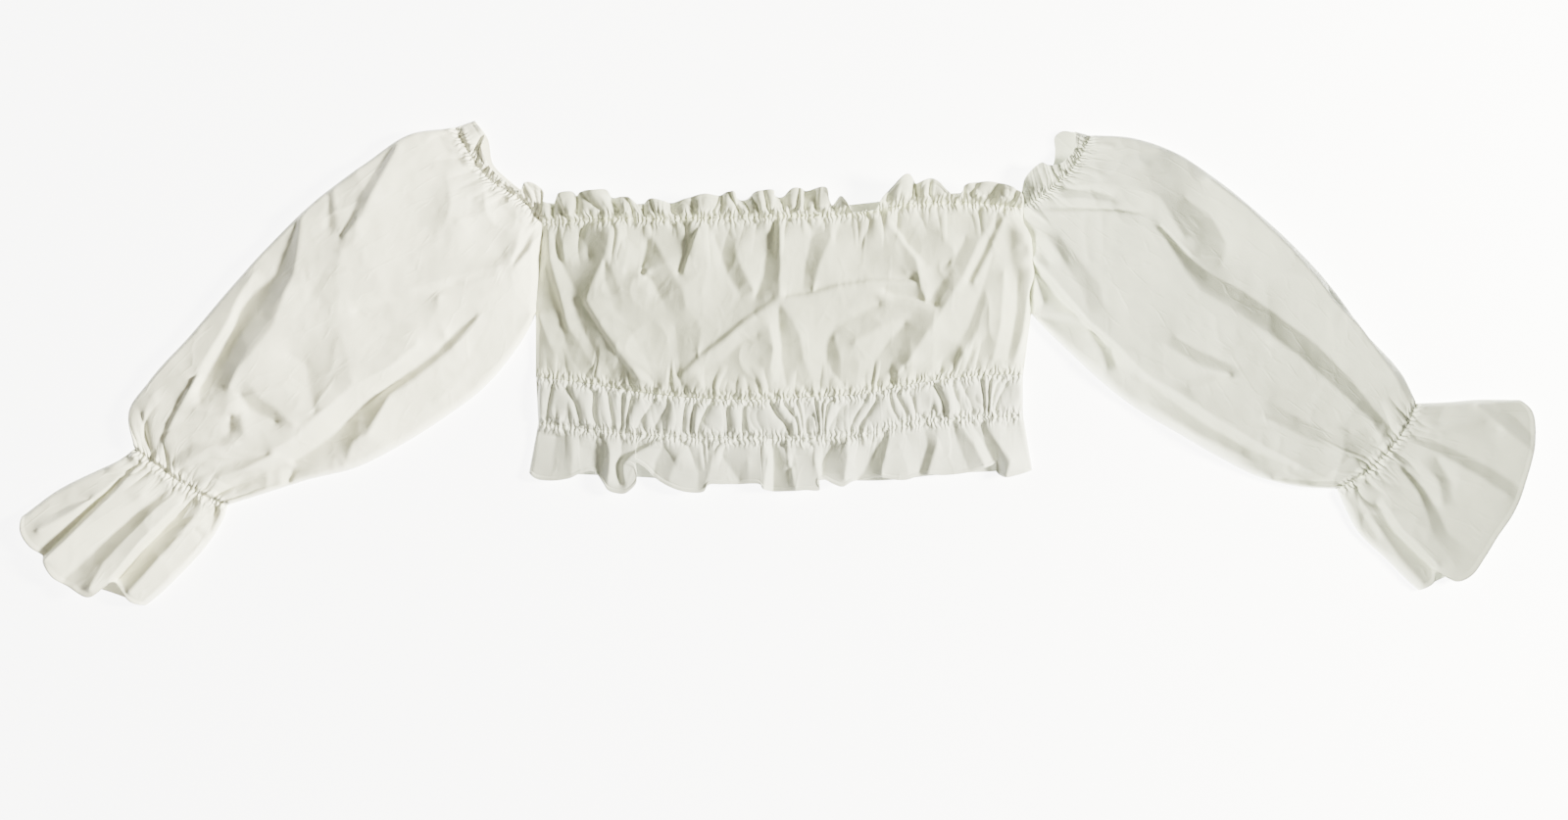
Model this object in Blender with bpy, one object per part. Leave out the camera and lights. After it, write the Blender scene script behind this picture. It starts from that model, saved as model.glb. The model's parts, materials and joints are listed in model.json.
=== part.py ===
"""White cotton off-shoulder crop top with balloon sleeves, laid flat on a table and seen from above.

The back of the bodice lies on the table, the front lies on the back, and each sleeve is one tube of
cloth pressed flat. Narrow elastic gathers the cloth along the neckline, in two rows round the waist
and round each wrist, and past each elastic the cloth runs on as a frill.

Lengths are in millimetres until a mesh is made. X runs across the top, Y points from hem to neckline
and Z is height above the table. Left and right are as seen from above.
"""
import math
from collections import namedtuple

import bmesh
import bpy
import numpy as np

METRES_PER_MM = 0.001

# Cloth and how its layers lie
WALL = 1.6
SEAM_GAP = 0.3
HALF_GAP = SEAM_GAP / 2
UPPER_TOP = 2 * WALL + SEAM_GAP
FOLD_MIDDLE = UPPER_TOP / 2
FOLD_REACH = 1.6
FOLD_REACH_INSIDE = 2.8
BACK_COLUMNS = 24

# Gathers on the elastic: the front has this many across, and each takes two columns of the mesh
FRONT_GATHERS = 48
FRONT_COLUMNS = 2 * FRONT_GATHERS
# Columns across a pressed sleeve, and how many of them meet the neck elastic over its head
SLEEVE_UPPER_COLUMNS = 32
SLEEVE_LOWER_COLUMNS = 8
HEAD_UPPER_COLUMNS = 24
HEAD_LOWER_COLUMNS = 6
GATHER_HEIGHT = 2.3
GATHER_FADE = 16.0

# How far the front swells between its elastics, and the band between the two rows at the waist
BODICE_SWELL = 9.0
BODICE_DEPTH = 135.0
BAND_SWELL = 2.0
# The swell rises to its height over one part in this many of the width, or of the length
SWELL_SIDE_PARTS = 6
FOLD_END_PARTS = 8
SLEEVE_END_PARTS = 12
SWELL_POWER = 0.7
FRILL_LIFT_POWER = 0.8
CUFF_LIFT_POWER = 0.6
CUFF_NOTCH_POWER = 2.5
# How far down each side of the bodice the armhole ends and the side seam starts
LEFT_ARMHOLE_END = 0.58
RIGHT_ARMHOLE_END = 0.63

# Lengths from elastic to free edge or, in a sleeve, from neckline to wrist
NECK_FRILL_LENGTH = 20.0
HEM_FRILL_LENGTH = 45.0
HEAD_FRILL_LENGTH = 20.0
CUFF_LENGTH = 110.0
SLEEVE_LENGTH = 400.0

# Corners of the bodice, where neckline, armholes, side seams and waist meet
NECK_LEFT = (-203, 121)
NECK_RIGHT = (213, 134)
UNDERARM_LEFT = (-209, 43)
UNDERARM_RIGHT = (220, 43)

Place = namedtuple("Place", "x y")
EdgeWave = namedtuple("EdgeWave", "x y lift")
Section = namedtuple("Section", "outer_x outer_y inner_x inner_y puff")
Fold = namedtuple("Fold", "start_x start_y middle_x middle_y end_x end_y height width")

# Elastic lines across the front, left to right
NECK_ELASTIC = [
    Place(*NECK_LEFT),
    Place(-164, 124),
    Place(-79, 125),
    Place(6, 127),
    Place(57, 129),
    Place(84, 132),
    Place(112, 137),
    Place(176, 138),
    Place(*NECK_RIGHT),
]
UPPER_WAIST_ELASTIC = [
    Place(-209, -12),
    Place(-164, -18),
    Place(-122, -25),
    Place(-28, -32),
    Place(23, -30),
    Place(74, -27),
    Place(125, -17),
    Place(176, -11),
    Place(213, -10),
]
LOWER_WAIST_ELASTIC = [
    Place(-207, -52),
    Place(-164, -57),
    Place(-122, -62),
    Place(-28, -65),
    Place(74, -62),
    Place(116, -52),
    Place(176, -47),
    Place(213, -45),
]

# Edge of the neckline frill, left to right: each row is a crest or a notch of its waves
NECK_FRILL_EDGE = [
    EdgeWave(-202, 139, 1.0),
    EdgeWave(-193, 137, 0.0),
    EdgeWave(-187, 146, 5.0),
    EdgeWave(-175, 147, 2.0),
    EdgeWave(-171, 145, 1.0),
    EdgeWave(-160, 148, 6.0),
    EdgeWave(-146, 148, 4.0),
    EdgeWave(-140, 142, 0.5),
    EdgeWave(-128, 142, 3.0),
    EdgeWave(-117, 136, 0.0),
    EdgeWave(-108, 141, 3.0),
    EdgeWave(-88, 138, 1.0),
    EdgeWave(-66, 144, 4.0),
    EdgeWave(-49, 145, 2.0),
    EdgeWave(-38, 147, 5.0),
    EdgeWave(-30, 142, 1.0),
    EdgeWave(-23, 142, 0.0),
    EdgeWave(-16, 147, 5.0),
    EdgeWave(-3, 148, 3.0),
    EdgeWave(5, 142, 0.0),
    EdgeWave(13, 149, 6.0),
    EdgeWave(25, 148, 3.0),
    EdgeWave(40, 150, 7.0),
    EdgeWave(47, 135, 0.5),
    EdgeWave(54, 143, 5.0),
    EdgeWave(64, 138, 0.5),
    EdgeWave(86, 140, 0.5),
    EdgeWave(96, 149, 4.0),
    EdgeWave(108, 160, 8.0),
    EdgeWave(118, 159, 5.0),
    EdgeWave(123, 153, 1.0),
    EdgeWave(134, 158, 5.0),
    EdgeWave(144, 154, 3.0),
    EdgeWave(152, 147, 0.0),
    EdgeWave(160, 148, 1.0),
    EdgeWave(166, 154, 5.0),
    EdgeWave(182, 155, 6.0),
    EdgeWave(196, 152, 3.0),
    EdgeWave(211, 147, 1.0),
]
BACK_NECK_FRILL_EDGE = [
    Place(-202, 139),
    Place(-150, 136),
    Place(-100, 139),
    Place(-50, 136),
    Place(0, 139),
    Place(60, 138),
    Place(90, 141),
    Place(150, 148),
    Place(211, 147),
]

# Hem, left to right: the front's edge in waves, and the plain edge of the back under it
HEM_EDGE = [
    EdgeWave(-215, -95, 0.5),
    EdgeWave(-205, -102, 2.0),
    EdgeWave(-188, -102, 4.0),
    EdgeWave(-172, -96, 1.0),
    EdgeWave(-157, -95, 0.5),
    EdgeWave(-149, -107, 3.0),
    EdgeWave(-137, -113, 9.0),
    EdgeWave(-127, -110, 6.0),
    EdgeWave(-116, -92, 0.5),
    EdgeWave(-105, -99, 4.0),
    EdgeWave(-88, -108, 6.0),
    EdgeWave(-67, -112, 5.0),
    EdgeWave(-59, -105, 0.5),
    EdgeWave(-37, -105, 3.0),
    EdgeWave(-15, -105, 1.0),
    EdgeWave(-8, -111, 4.0),
    EdgeWave(12, -111, 6.0),
    EdgeWave(33, -110, 3.0),
    EdgeWave(39, -103, 0.5),
    EdgeWave(58, -107, 5.0),
    EdgeWave(74, -101, 1.0),
    EdgeWave(92, -100, 0.5),
    EdgeWave(104, -102, 3.0),
    EdgeWave(120, -98, 6.0),
    EdgeWave(146, -97, 4.0),
    EdgeWave(172, -94, 2.0),
    EdgeWave(187, -88, 0.5),
    EdgeWave(194, -98, 4.0),
    EdgeWave(207, -97, 3.0),
    EdgeWave(221, -93, 0.5),
]
BACK_HEM_EDGE = [
    Place(-215, -95),
    Place(-140, -98),
    Place(-60, -102),
    Place(30, -101),
    Place(90, -102),
    Place(150, -96),
    Place(221, -93),
]

# Sleeves, from neckline to wrist: outer edge, underarm edge and how far the cloth puffs up between them
LEFT_SLEEVE = [
    Section(-279, 204, -209, 43, 3.0),
    Section(-318, 198, -216, 28, 8.0),
    Section(-358, 172, -232, 4, 12.0),
    Section(-398, 142, -256, -23, 14.0),
    Section(-440, 102, -288, -47, 15.0),
    Section(-476, 62, -326, -71, 15.0),
    Section(-510, 22, -366, -91, 15.0),
    Section(-544, -16, -406, -101, 14.0),
    Section(-561, -42, -444, -113, 10.0),
    Section(-556, -74, -476, -123, 1.0),
]
RIGHT_SLEEVE = [
    Section(271, 197, 220, 43, 3.0),
    Section(306, 195, 236, 26, 8.0),
    Section(343, 183, 256, 7, 12.0),
    Section(380, 159, 282, -17, 14.0),
    Section(416, 130, 312, -40, 15.0),
    Section(450, 98, 346, -60, 15.0),
    Section(480, 65, 382, -81, 15.0),
    Section(508, 27, 416, -98, 14.0),
    Section(541, -11, 452, -107, 10.0),
    Section(553, -35, 485, -109, 1.0),
]

# Neck elastic over each sleeve head, from the sleeve's outer edge to the corner of the bodice
LEFT_HEAD_ELASTIC = [
    Place(-279, 204),
    Place(-269, 186),
    Place(-259, 170),
    Place(-246, 156),
    Place(-230, 146),
    Place(-215, 136),
    Place(*NECK_LEFT),
]
RIGHT_HEAD_ELASTIC = [
    Place(271, 197),
    Place(264, 181),
    Place(252, 164),
    Place(237, 151),
    Place(224, 141),
    Place(*NECK_RIGHT),
]
LEFT_HEAD_FRILL_EDGE = [
    EdgeWave(-262, 210, 0.5),
    EdgeWave(-254, 198, 1.0),
    EdgeWave(-254, 186, 3.0),
    EdgeWave(-248, 170, 2.0),
    EdgeWave(-237, 158, 3.0),
    EdgeWave(-224, 148, 0.5),
    EdgeWave(-217, 155, 7.0),
    EdgeWave(-207, 152, 6.0),
    EdgeWave(-202, 139, 1.0),
]
RIGHT_HEAD_FRILL_EDGE = [
    EdgeWave(255, 202, 0.5),
    EdgeWave(258, 187, 1.0),
    EdgeWave(251, 176, 3.0),
    EdgeWave(240, 170, 2.0),
    EdgeWave(229, 172, 6.0),
    EdgeWave(219, 166, 6.0),
    EdgeWave(214, 157, 3.0),
    EdgeWave(211, 147, 1.0),
]
LEFT_HEAD_FRILL_EDGE_BELOW = [
    Place(-262, 210),
    Place(-251, 195),
    Place(-246, 172),
    Place(-232, 158),
    Place(-219, 148),
    Place(-202, 139),
]
RIGHT_HEAD_FRILL_EDGE_BELOW = [
    Place(255, 202),
    Place(244, 200),
    Place(241, 184),
    Place(238, 170),
    Place(224, 160),
    Place(211, 147),
]

# Wrists: the elastic, the frill's two sides and its waved edge, from the sleeve's outer side inwards
LEFT_WRIST = [Place(-556, -74), Place(-538, -87), Place(-521, -100), Place(-500, -113), Place(-476, -123)]
RIGHT_WRIST = [Place(553, -35), Place(543, -57), Place(529, -76), Place(509, -95), Place(485, -109)]
LEFT_CUFF_OUTER = [Place(-556, -74), Place(-570, -84), Place(-589, -93), Place(-623, -110), Place(-653, -132)]
LEFT_CUFF_INNER = [
    Place(-476, -123),
    Place(-479, -133),
    Place(-486, -146),
    Place(-521, -187),
    Place(-538, -203),
    Place(-547, -210),
]
RIGHT_CUFF_OUTER = [Place(553, -35), Place(580, -34), Place(605, -32), Place(643, -32)]
RIGHT_CUFF_INNER = [
    Place(485, -109),
    Place(492, -125),
    Place(502, -144),
    Place(529, -171),
    Place(549, -191),
    Place(556, -197),
]
LEFT_CUFF_EDGE = [
    EdgeWave(-653, -132, 0.5),
    EdgeWave(-654, -145, 1.5),
    EdgeWave(-646, -158, 2.5),
    EdgeWave(-633, -170, 3.0),
    EdgeWave(-630, -178, 8.0),
    EdgeWave(-621, -189, 5.0),
    EdgeWave(-606, -197, 2.0),
    EdgeWave(-593, -202, 5.0),
    EdgeWave(-582, -197, 7.0),
    EdgeWave(-573, -192, 4.0),
    EdgeWave(-565, -198, 2.0),
    EdgeWave(-557, -206, 4.0),
    EdgeWave(-547, -210, 1.0),
]
RIGHT_CUFF_EDGE = [
    EdgeWave(643, -32, 0.5),
    EdgeWave(653, -45, 2.0),
    EdgeWave(654, -68, 4.0),
    EdgeWave(649, -89, 5.0),
    EdgeWave(643, -112, 2.0),
    EdgeWave(632, -134, 4.0),
    EdgeWave(619, -151, 6.0),
    EdgeWave(609, -168, 4.0),
    EdgeWave(597, -183, 3.0),
    EdgeWave(583, -188, 6.0),
    EdgeWave(573, -183, 4.0),
    EdgeWave(566, -188, 2.0),
    EdgeWave(556, -197, 1.0),
]
LEFT_CUFF_EDGE_BELOW = [
    Place(-653, -132),
    Place(-640, -158),
    Place(-612, -186),
    Place(-575, -200),
    Place(-547, -210),
]
RIGHT_CUFF_EDGE_BELOW = [
    Place(643, -32),
    Place(650, -70),
    Place(634, -124),
    Place(604, -170),
    Place(556, -197),
]

# Largest folds, as a spine of three points, the height of its crest (or depth of its trough) and its half width
BODICE_FOLDS = [
    Fold(-197, 102, -181, 17, -160, -10, 5.0, 6.0),
    Fold(-186, 80, -172, 30, -152, 0, -4.0, 7.0),
    Fold(-141, 112, -162, 56, -118, -14, 9.0, 10.0),
    Fold(-108, 102, -98, 86, -85, 70, -5.0, 8.0),
    Fold(-69, 117, -75, 95, -84, 70, -5.0, 7.0),
    Fold(-86, -8, 0, 52, 120, 66, 9.0, 13.0),
    Fold(-60, -2, -36, 16, -8, 30, -4.0, 14.0),
    Fold(-38, 104, -30, 80, -14, 60, -5.0, 9.0),
    Fold(6, 120, 6, 90, 2, 60, 4.0, 7.0),
    Fold(44, 122, 36, 90, 24, 58, -5.0, 10.0),
    Fold(112, 108, 116, 80, 122, 58, -5.0, 9.0),
    Fold(184, 126, 136, 44, 90, -14, 9.0, 9.0),
    Fold(201, 118, 210, 60, 196, -2, 5.0, 7.0),
    Fold(176, 68, 158, 30, 146, -4, -4.0, 8.0),
    Fold(50, 24, 44, 0, 48, -24, -4.0, 7.0),
    Fold(-126, 40, -100, 0, -60, -24, 5.0, 16.0),
]
LEFT_SLEEVE_FOLDS = [
    Fold(-330, 182, -352, 142, -374, 108, -6.0, 8.0),
    Fold(-410, 122, -455, 70, -496, -20, -8.0, 17.0),
    Fold(-250, 34, -300, -16, -378, -62, -7.0, 12.0),
    Fold(-372, -76, -420, -90, -470, -112, 4.0, 9.0),
    Fold(-400, -30, -440, -70, -500, -100, 5.0, 12.0),
    Fold(-495, 0, -525, -50, -540, -76, 5.0, 9.0),
    Fold(-515, -20, -518, -60, -530, -88, -4.0, 8.0),
    Fold(-430, -62, -470, -74, -512, -98, -4.0, 8.0),
    Fold(-212, 110, -252, 92, -330, 84, 3.0, 9.0),
    Fold(-216, 92, -240, 66, -300, 54, 3.0, 10.0),
    Fold(-420, -20, -450, -34, -470, -30, 5.0, 18.0),
]
RIGHT_SLEEVE_FOLDS = [
    Fold(316, 126, 360, 62, 420, 22, 6.0, 9.0),
    Fold(420, 22, 470, -14, 528, -66, 6.0, 8.0),
    Fold(330, 140, 392, 76, 450, 20, -8.0, 15.0),
    Fold(450, 20, 490, -24, 524, -56, -6.0, 10.0),
    Fold(228, 128, 276, 132, 312, 126, 4.0, 7.0),
    Fold(222, 90, 262, 60, 296, 12, 6.0, 11.0),
    Fold(296, 12, 350, -30, 430, -80, 5.0, 10.0),
    Fold(230, 50, 262, 26, 286, -2, -5.0, 10.0),
    Fold(240, 106, 266, 76, 284, 44, -4.0, 11.0),
    Fold(262, 178, 290, 172, 330, 164, 3.0, 9.0),
    Fold(370, -20, 420, -50, 500, -92, -4.0, 10.0),
]

COTTON_WHITE = (0.83, 0.83, 0.79, 1.0)
COTTON_ROUGHNESS = 0.85


def curve_through(rows):
    """A smooth curve through the rows. It is a function of 0 to 1 along the curve's length."""
    knots = np.array([tuple(row) for row in rows], float)
    steps = np.linalg.norm(np.diff(knots[:, :2], axis=0), axis=1)
    at = np.concatenate([[0.0], np.cumsum(steps)]) / steps.sum()
    slopes = np.gradient(knots, at, axis=0)

    def point(share):
        i = min(int(np.searchsorted(at, share, side="right")) - 1, len(at) - 2)
        span = at[i + 1] - at[i]
        f = (share - at[i]) / span
        return (
            (1 + 2 * f) * (1 - f) ** 2 * knots[i]
            + f * (1 - f) ** 2 * span * slopes[i]
            + f * f * (3 - 2 * f) * knots[i + 1]
            + f * f * (f - 1) * span * slopes[i + 1]
        )

    return point


def moved(curve, dx, dy):
    """The curve shifted sideways, as for the gap at a seam."""
    return lambda share: curve(share)[:2] + np.array([dx, dy])


def eased(curve, shift):
    """The curve with its start shifted, and less and less of the shift towards its end."""
    return lambda share: curve(share)[:2] + (1 - share) * shift


def straight(a, b):
    """The straight line from a to b, as a function of 0 to 1."""
    return lambda share: (1 - share) * np.array(a, float) + share * np.array(b, float)


def one_after_other(first, second, turn):
    """Two curves as one: the first up to the share given by turn, the second from there."""

    def point(share):
        if share <= turn:
            return first(share / turn)
        return second((share - turn) / (1 - turn))

    return point


def patch(start, end, side_a, side_b):
    """A surface between four edge curves that meet at their ends, as a function of (across, along)."""
    corner = {(a, b): (start, end)[b](a) for a in (0, 1) for b in (0, 1)}

    def point(across, along):
        between_ends = (1 - along) * start(across) + along * end(across)
        between_sides = (1 - across) * side_a(along) + across * side_b(along)
        blend = (1 - along) * ((1 - across) * corner[0, 0] + across * corner[1, 0]) + along * (
            (1 - across) * corner[0, 1] + across * corner[1, 1]
        )
        return between_ends + between_sides - blend

    return point


def by_width(curve):
    """The curve read by its share of the width, so that a frill's waves stay over their elastic."""
    shares = np.linspace(0, 1, 400)
    xs = np.array([curve(share)[0] for share in shares])
    return lambda across: curve(float(np.interp(xs[0] + across * (xs[-1] - xs[0]), xs, shares)))


def spine_of(fold, steps=10):
    """Points along the fold: a curve that passes through its middle point."""
    a = np.array([fold.start_x, fold.start_y], float)
    m = np.array([fold.middle_x, fold.middle_y], float)
    b = np.array([fold.end_x, fold.end_y], float)
    pull = 2 * m - (a + b) / 2
    shares = np.linspace(0, 1, steps + 1)[:, None]
    return (1 - shares) ** 2 * a + 2 * shares * (1 - shares) * pull + shares**2 * b


def relief_of(folds):
    """How far the folds lift the cloth, as a function of its place."""
    spines = [(fold, spine_of(fold)) for fold in folds]

    def lift(place):
        total = 0.0
        for fold, spine in spines:
            runs = spine[1:] - spine[:-1]
            shares = ((place - spine[:-1]) * runs).sum(1) / (runs * runs).sum(1)
            feet = spine[:-1] + np.clip(shares, 0, 1)[:, None] * runs
            away = np.linalg.norm(place - feet, axis=1).min()
            total += fold.height * math.exp(-((away / fold.width) ** 2))
        return total

    return lift


def crown(across):
    """Height of a puffed tube across its width: 0 at both folded edges and 1 over most of the middle."""
    return max(0.0, 1 - abs(2 * across - 1) ** 2.5)


def gather(column, from_elastic):
    """The zigzag of one gather at a column of the mesh, fading with distance from the elastic."""
    return GATHER_HEIGHT * (column % 2) * math.exp(-from_elastic / GATHER_FADE)


def build_wall(name, outer, inner, closed):
    """One named body of cloth from two matching grids of points, closed round its edges."""
    rows, columns = len(outer), len(outer[0])
    points = [p for row in outer for p in row] + [p for row in inner for p in row]
    inner_start = rows * columns

    def at(row, column, skin=0):
        return skin * inner_start + row * columns + column % columns

    faces = []
    spans = columns if closed else columns - 1
    for row in range(rows - 1):
        for c in range(spans):
            faces.append((at(row, c), at(row, c + 1), at(row + 1, c + 1), at(row + 1, c)))
            faces.append((at(row, c, 1), at(row + 1, c, 1), at(row + 1, c + 1, 1), at(row, c + 1, 1)))
    for c in range(spans):
        last = rows - 1
        faces.append((at(0, c), at(0, c, 1), at(0, c + 1, 1), at(0, c + 1)))
        faces.append((at(last, c), at(last, c + 1), at(last, c + 1, 1), at(last, c, 1)))
    if not closed:
        end = columns - 1
        for row in range(rows - 1):
            faces.append((at(row, 0), at(row + 1, 0), at(row + 1, 0, 1), at(row, 0, 1)))
            faces.append((at(row, end), at(row, end, 1), at(row + 1, end, 1), at(row + 1, end)))

    mesh = bpy.data.meshes.new(name)
    mesh.from_pydata([[c * METRES_PER_MM for c in p] for p in points], [], faces)
    shell = bmesh.new()
    shell.from_mesh(mesh)
    if shell.calc_volume(signed=True) < 0:
        bmesh.ops.reverse_faces(shell, faces=shell.faces)
    shell.to_mesh(mesh)
    shell.free()
    mesh.shade_smooth()
    mesh.set_sharp_from_angle(angle=math.radians(50))
    mesh.materials.append(cotton(name))
    thing = bpy.data.objects.new(name, mesh)
    bpy.context.scene.collection.objects.link(thing)
    return thing


def cotton(name):
    """White cotton poplin."""
    material = bpy.data.materials.new("cotton_" + name)
    material.use_nodes = True
    shader = material.node_tree.nodes["Principled BSDF"]
    shader.inputs["Base Color"].default_value = COTTON_WHITE
    shader.inputs["Roughness"].default_value = COTTON_ROUGHNESS
    shader.inputs["Metallic"].default_value = 0.0
    return material


def sheet_grids(surface, rows, columns, top_of):
    """The upper and lower skins of an open sheet. top_of gives the height of the upper skin."""
    outer, inner = [], []
    for along in rows:
        upper, lower = [], []
        for column in range(columns + 1):
            across = column / columns
            place = surface(across, along)
            top = top_of(place, column, across, along)
            upper.append((place[0], place[1], top))
            lower.append((place[0], place[1], top - WALL))
        outer.append(upper)
        inner.append(lower)
    return outer, inner


def tube_grids(upper_surface, lower_surface, rows, upper_columns, lower_columns, top_of):
    """The outer and inner skins of a cloth tube pressed flat: a fold, the upper layer, a fold, the lower layer."""
    outer, inner = [], []
    for along in rows:
        width = np.linalg.norm(upper_surface(1, along) - upper_surface(0, along))
        skins = []
        for reach, fold_inset, sink, floor in (
            (FOLD_REACH, 0.0, 0.0, 0.0),
            (FOLD_REACH_INSIDE, WALL, WALL, WALL),
        ):
            start = min(reach / width, 0.7 / upper_columns)
            ring = [(*upper_surface(fold_inset / width, along), FOLD_MIDDLE)]
            for column in range(upper_columns + 1):
                across = min(max(column / upper_columns, start), 1 - start)
                place = upper_surface(across, along)
                ring.append((*place, top_of(place, column, across, along) - sink))
            ring.append((*upper_surface(1 - fold_inset / width, along), FOLD_MIDDLE))
            for column in range(lower_columns + 1):
                across = min(max(1 - column / lower_columns, start), 1 - start)
                ring.append((*lower_surface(across, along), floor))
            skins.append(ring)
        outer.append(skins[0])
        inner.append(skins[1])
    return outer, inner


def build_bodice():
    """Front and back between the neck elastic and the upper waist elastic."""
    neck = moved(curve_through(NECK_ELASTIC), 0, -HALF_GAP)
    waist = moved(curve_through(UPPER_WAIST_ELASTIC), 0, HALF_GAP)
    left_corner, right_corner = neck(0), neck(1)
    left_foot, right_foot = waist(0), waist(1)
    left = one_after_other(
        straight(left_corner, UNDERARM_LEFT), straight(UNDERARM_LEFT, left_foot), LEFT_ARMHOLE_END
    )
    right = one_after_other(
        straight(right_corner, UNDERARM_RIGHT), straight(UNDERARM_RIGHT, right_foot), RIGHT_ARMHOLE_END
    )
    surface = patch(neck, waist, left, right)
    lift = relief_of(BODICE_FOLDS)

    def front_top(place, column, across, along):
        sides = min(1.0, SWELL_SIDE_PARTS * min(across, 1 - across)) ** 0.5
        swell = BODICE_SWELL * sides * math.sin(math.pi * along) ** SWELL_POWER
        ends = min(1.0, FOLD_END_PARTS * min(along, 1 - along))
        to_elastic = BODICE_DEPTH * min(along, 1 - along)
        height = swell + ends * lift(place)
        return UPPER_TOP + max(0.0, height) + gather(column, to_elastic)

    front_rows = [0, 0.06, 0.15, 0.27, 0.4, 0.53, 0.66, 0.78, 0.88, 0.95, 1]
    build_wall("front_bodice", *sheet_grids(surface, front_rows, FRONT_COLUMNS, front_top), closed=False)
    back_rows = [0, 0.2, 0.4, 0.6, 0.8, 1]
    flat = sheet_grids(surface, back_rows, BACK_COLUMNS, lambda *_: WALL)
    build_wall("back_bodice", *flat, closed=False)


def build_neck_frills():
    """The cloth above the neck elastic, front and back."""
    foot = moved(curve_through(NECK_ELASTIC), 0, HALF_GAP)
    rim = by_width(curve_through(NECK_FRILL_EDGE))
    rows = [0, 0.5, 1]

    def surface(across, along):
        return (1 - along) * foot(across) + along * rim(across)[:2]

    def front_top(place, column, across, along):
        wave = max(0.0, rim(across)[2]) * along**FRILL_LIFT_POWER
        return UPPER_TOP + wave + gather(column, 2 * NECK_FRILL_LENGTH * along)

    build_wall("front_neck_frill", *sheet_grids(surface, rows, FRONT_COLUMNS, front_top), closed=False)

    back_rim = curve_through(BACK_NECK_FRILL_EDGE)

    def back_surface(across, along):
        return (1 - along) * foot(across) + along * back_rim(across)

    flat = sheet_grids(back_surface, [0, 1], BACK_COLUMNS, lambda *_: WALL)
    build_wall("back_neck_frill", *flat, closed=False)


def build_waistband():
    """The stretch between the two waist elastics, all round."""
    upper = moved(curve_through(UPPER_WAIST_ELASTIC), 0, -HALF_GAP)
    lower = moved(curve_through(LOWER_WAIST_ELASTIC), 0, HALF_GAP)
    surface = patch(upper, lower, straight(upper(0), lower(0)), straight(upper(1), lower(1)))

    def top(place, column, across, along):
        return UPPER_TOP + BAND_SWELL * math.sin(math.pi * along) + gather(column, 0)

    grids = tube_grids(surface, surface, [0, 0.5, 1], FRONT_COLUMNS, BACK_COLUMNS, top)
    build_wall("waistband", *grids, closed=True)


def build_hem_frill():
    """The frill below the lower waist elastic, all round."""
    elastic = moved(curve_through(LOWER_WAIST_ELASTIC), 0, -HALF_GAP)
    rim = by_width(curve_through(HEM_EDGE))
    back_edge = curve_through(BACK_HEM_EDGE)

    def upper_surface(across, along):
        return (1 - along) * elastic(across) + along * rim(across)[:2]

    def lower_surface(across, along):
        return (1 - along) * elastic(across) + along * back_edge(across)

    def top(place, column, across, along):
        wave = max(0.0, rim(across)[2]) * along**FRILL_LIFT_POWER
        return UPPER_TOP + wave + gather(column, HEM_FRILL_LENGTH * along)

    rows = [0, 0.33, 0.7, 1]
    grids = tube_grids(upper_surface, lower_surface, rows, FRONT_COLUMNS, BACK_COLUMNS, top)
    build_wall("hem_frill", *grids, closed=True)


def sleeve_edges(sections):
    """The outer and underarm edges of a sleeve and its puff, each as a function of 0 to 1 along it."""
    outer = curve_through([Place(s.outer_x, s.outer_y) for s in sections])
    inner = curve_through([Place(s.inner_x, s.inner_y) for s in sections])
    stations = np.linspace(0, 1, len(sections))
    puffs = [s.puff for s in sections]
    return outer, inner, lambda along: float(np.interp(along, stations, puffs))


def build_sleeve(side, sections, head, underarm, wrist, folds, seam_step):
    """A balloon sleeve: a tube from the neckline and armhole down to the wrist elastic."""
    outer, inner, puff = sleeve_edges(sections)
    head_curve = moved(curve_through(head), seam_step, -HALF_GAP)
    seam_foot = np.array(underarm, float) + np.array([seam_step, 0])
    turn = HEAD_UPPER_COLUMNS / SLEEVE_UPPER_COLUMNS
    start = one_after_other(head_curve, straight(head_curve(1), seam_foot), turn)
    end = curve_through(wrist)
    side_a = eased(outer, start(0) - outer(0))
    side_b = eased(inner, start(1) - inner(0))
    surface = patch(start, end, side_a, side_b)
    lift = relief_of(folds)

    def top(place, column, across, along):
        ends = min(1.0, SLEEVE_END_PARTS * min(along, 1 - along))
        height = puff(along) * crown(across) + ends * crown(across) ** 0.5 * lift(place)
        to_elastic = SLEEVE_LENGTH * min(along, 1 - along)
        return UPPER_TOP + max(0.0, height) + gather(column, to_elastic)

    rows = [0, 0.03, 0.1, 0.2, 0.31, 0.42, 0.53, 0.64, 0.75, 0.85, 0.93, 0.975, 1]
    grids = tube_grids(surface, surface, rows, SLEEVE_UPPER_COLUMNS, SLEEVE_LOWER_COLUMNS, top)
    build_wall("sleeve_" + side, *grids, closed=True)


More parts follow.
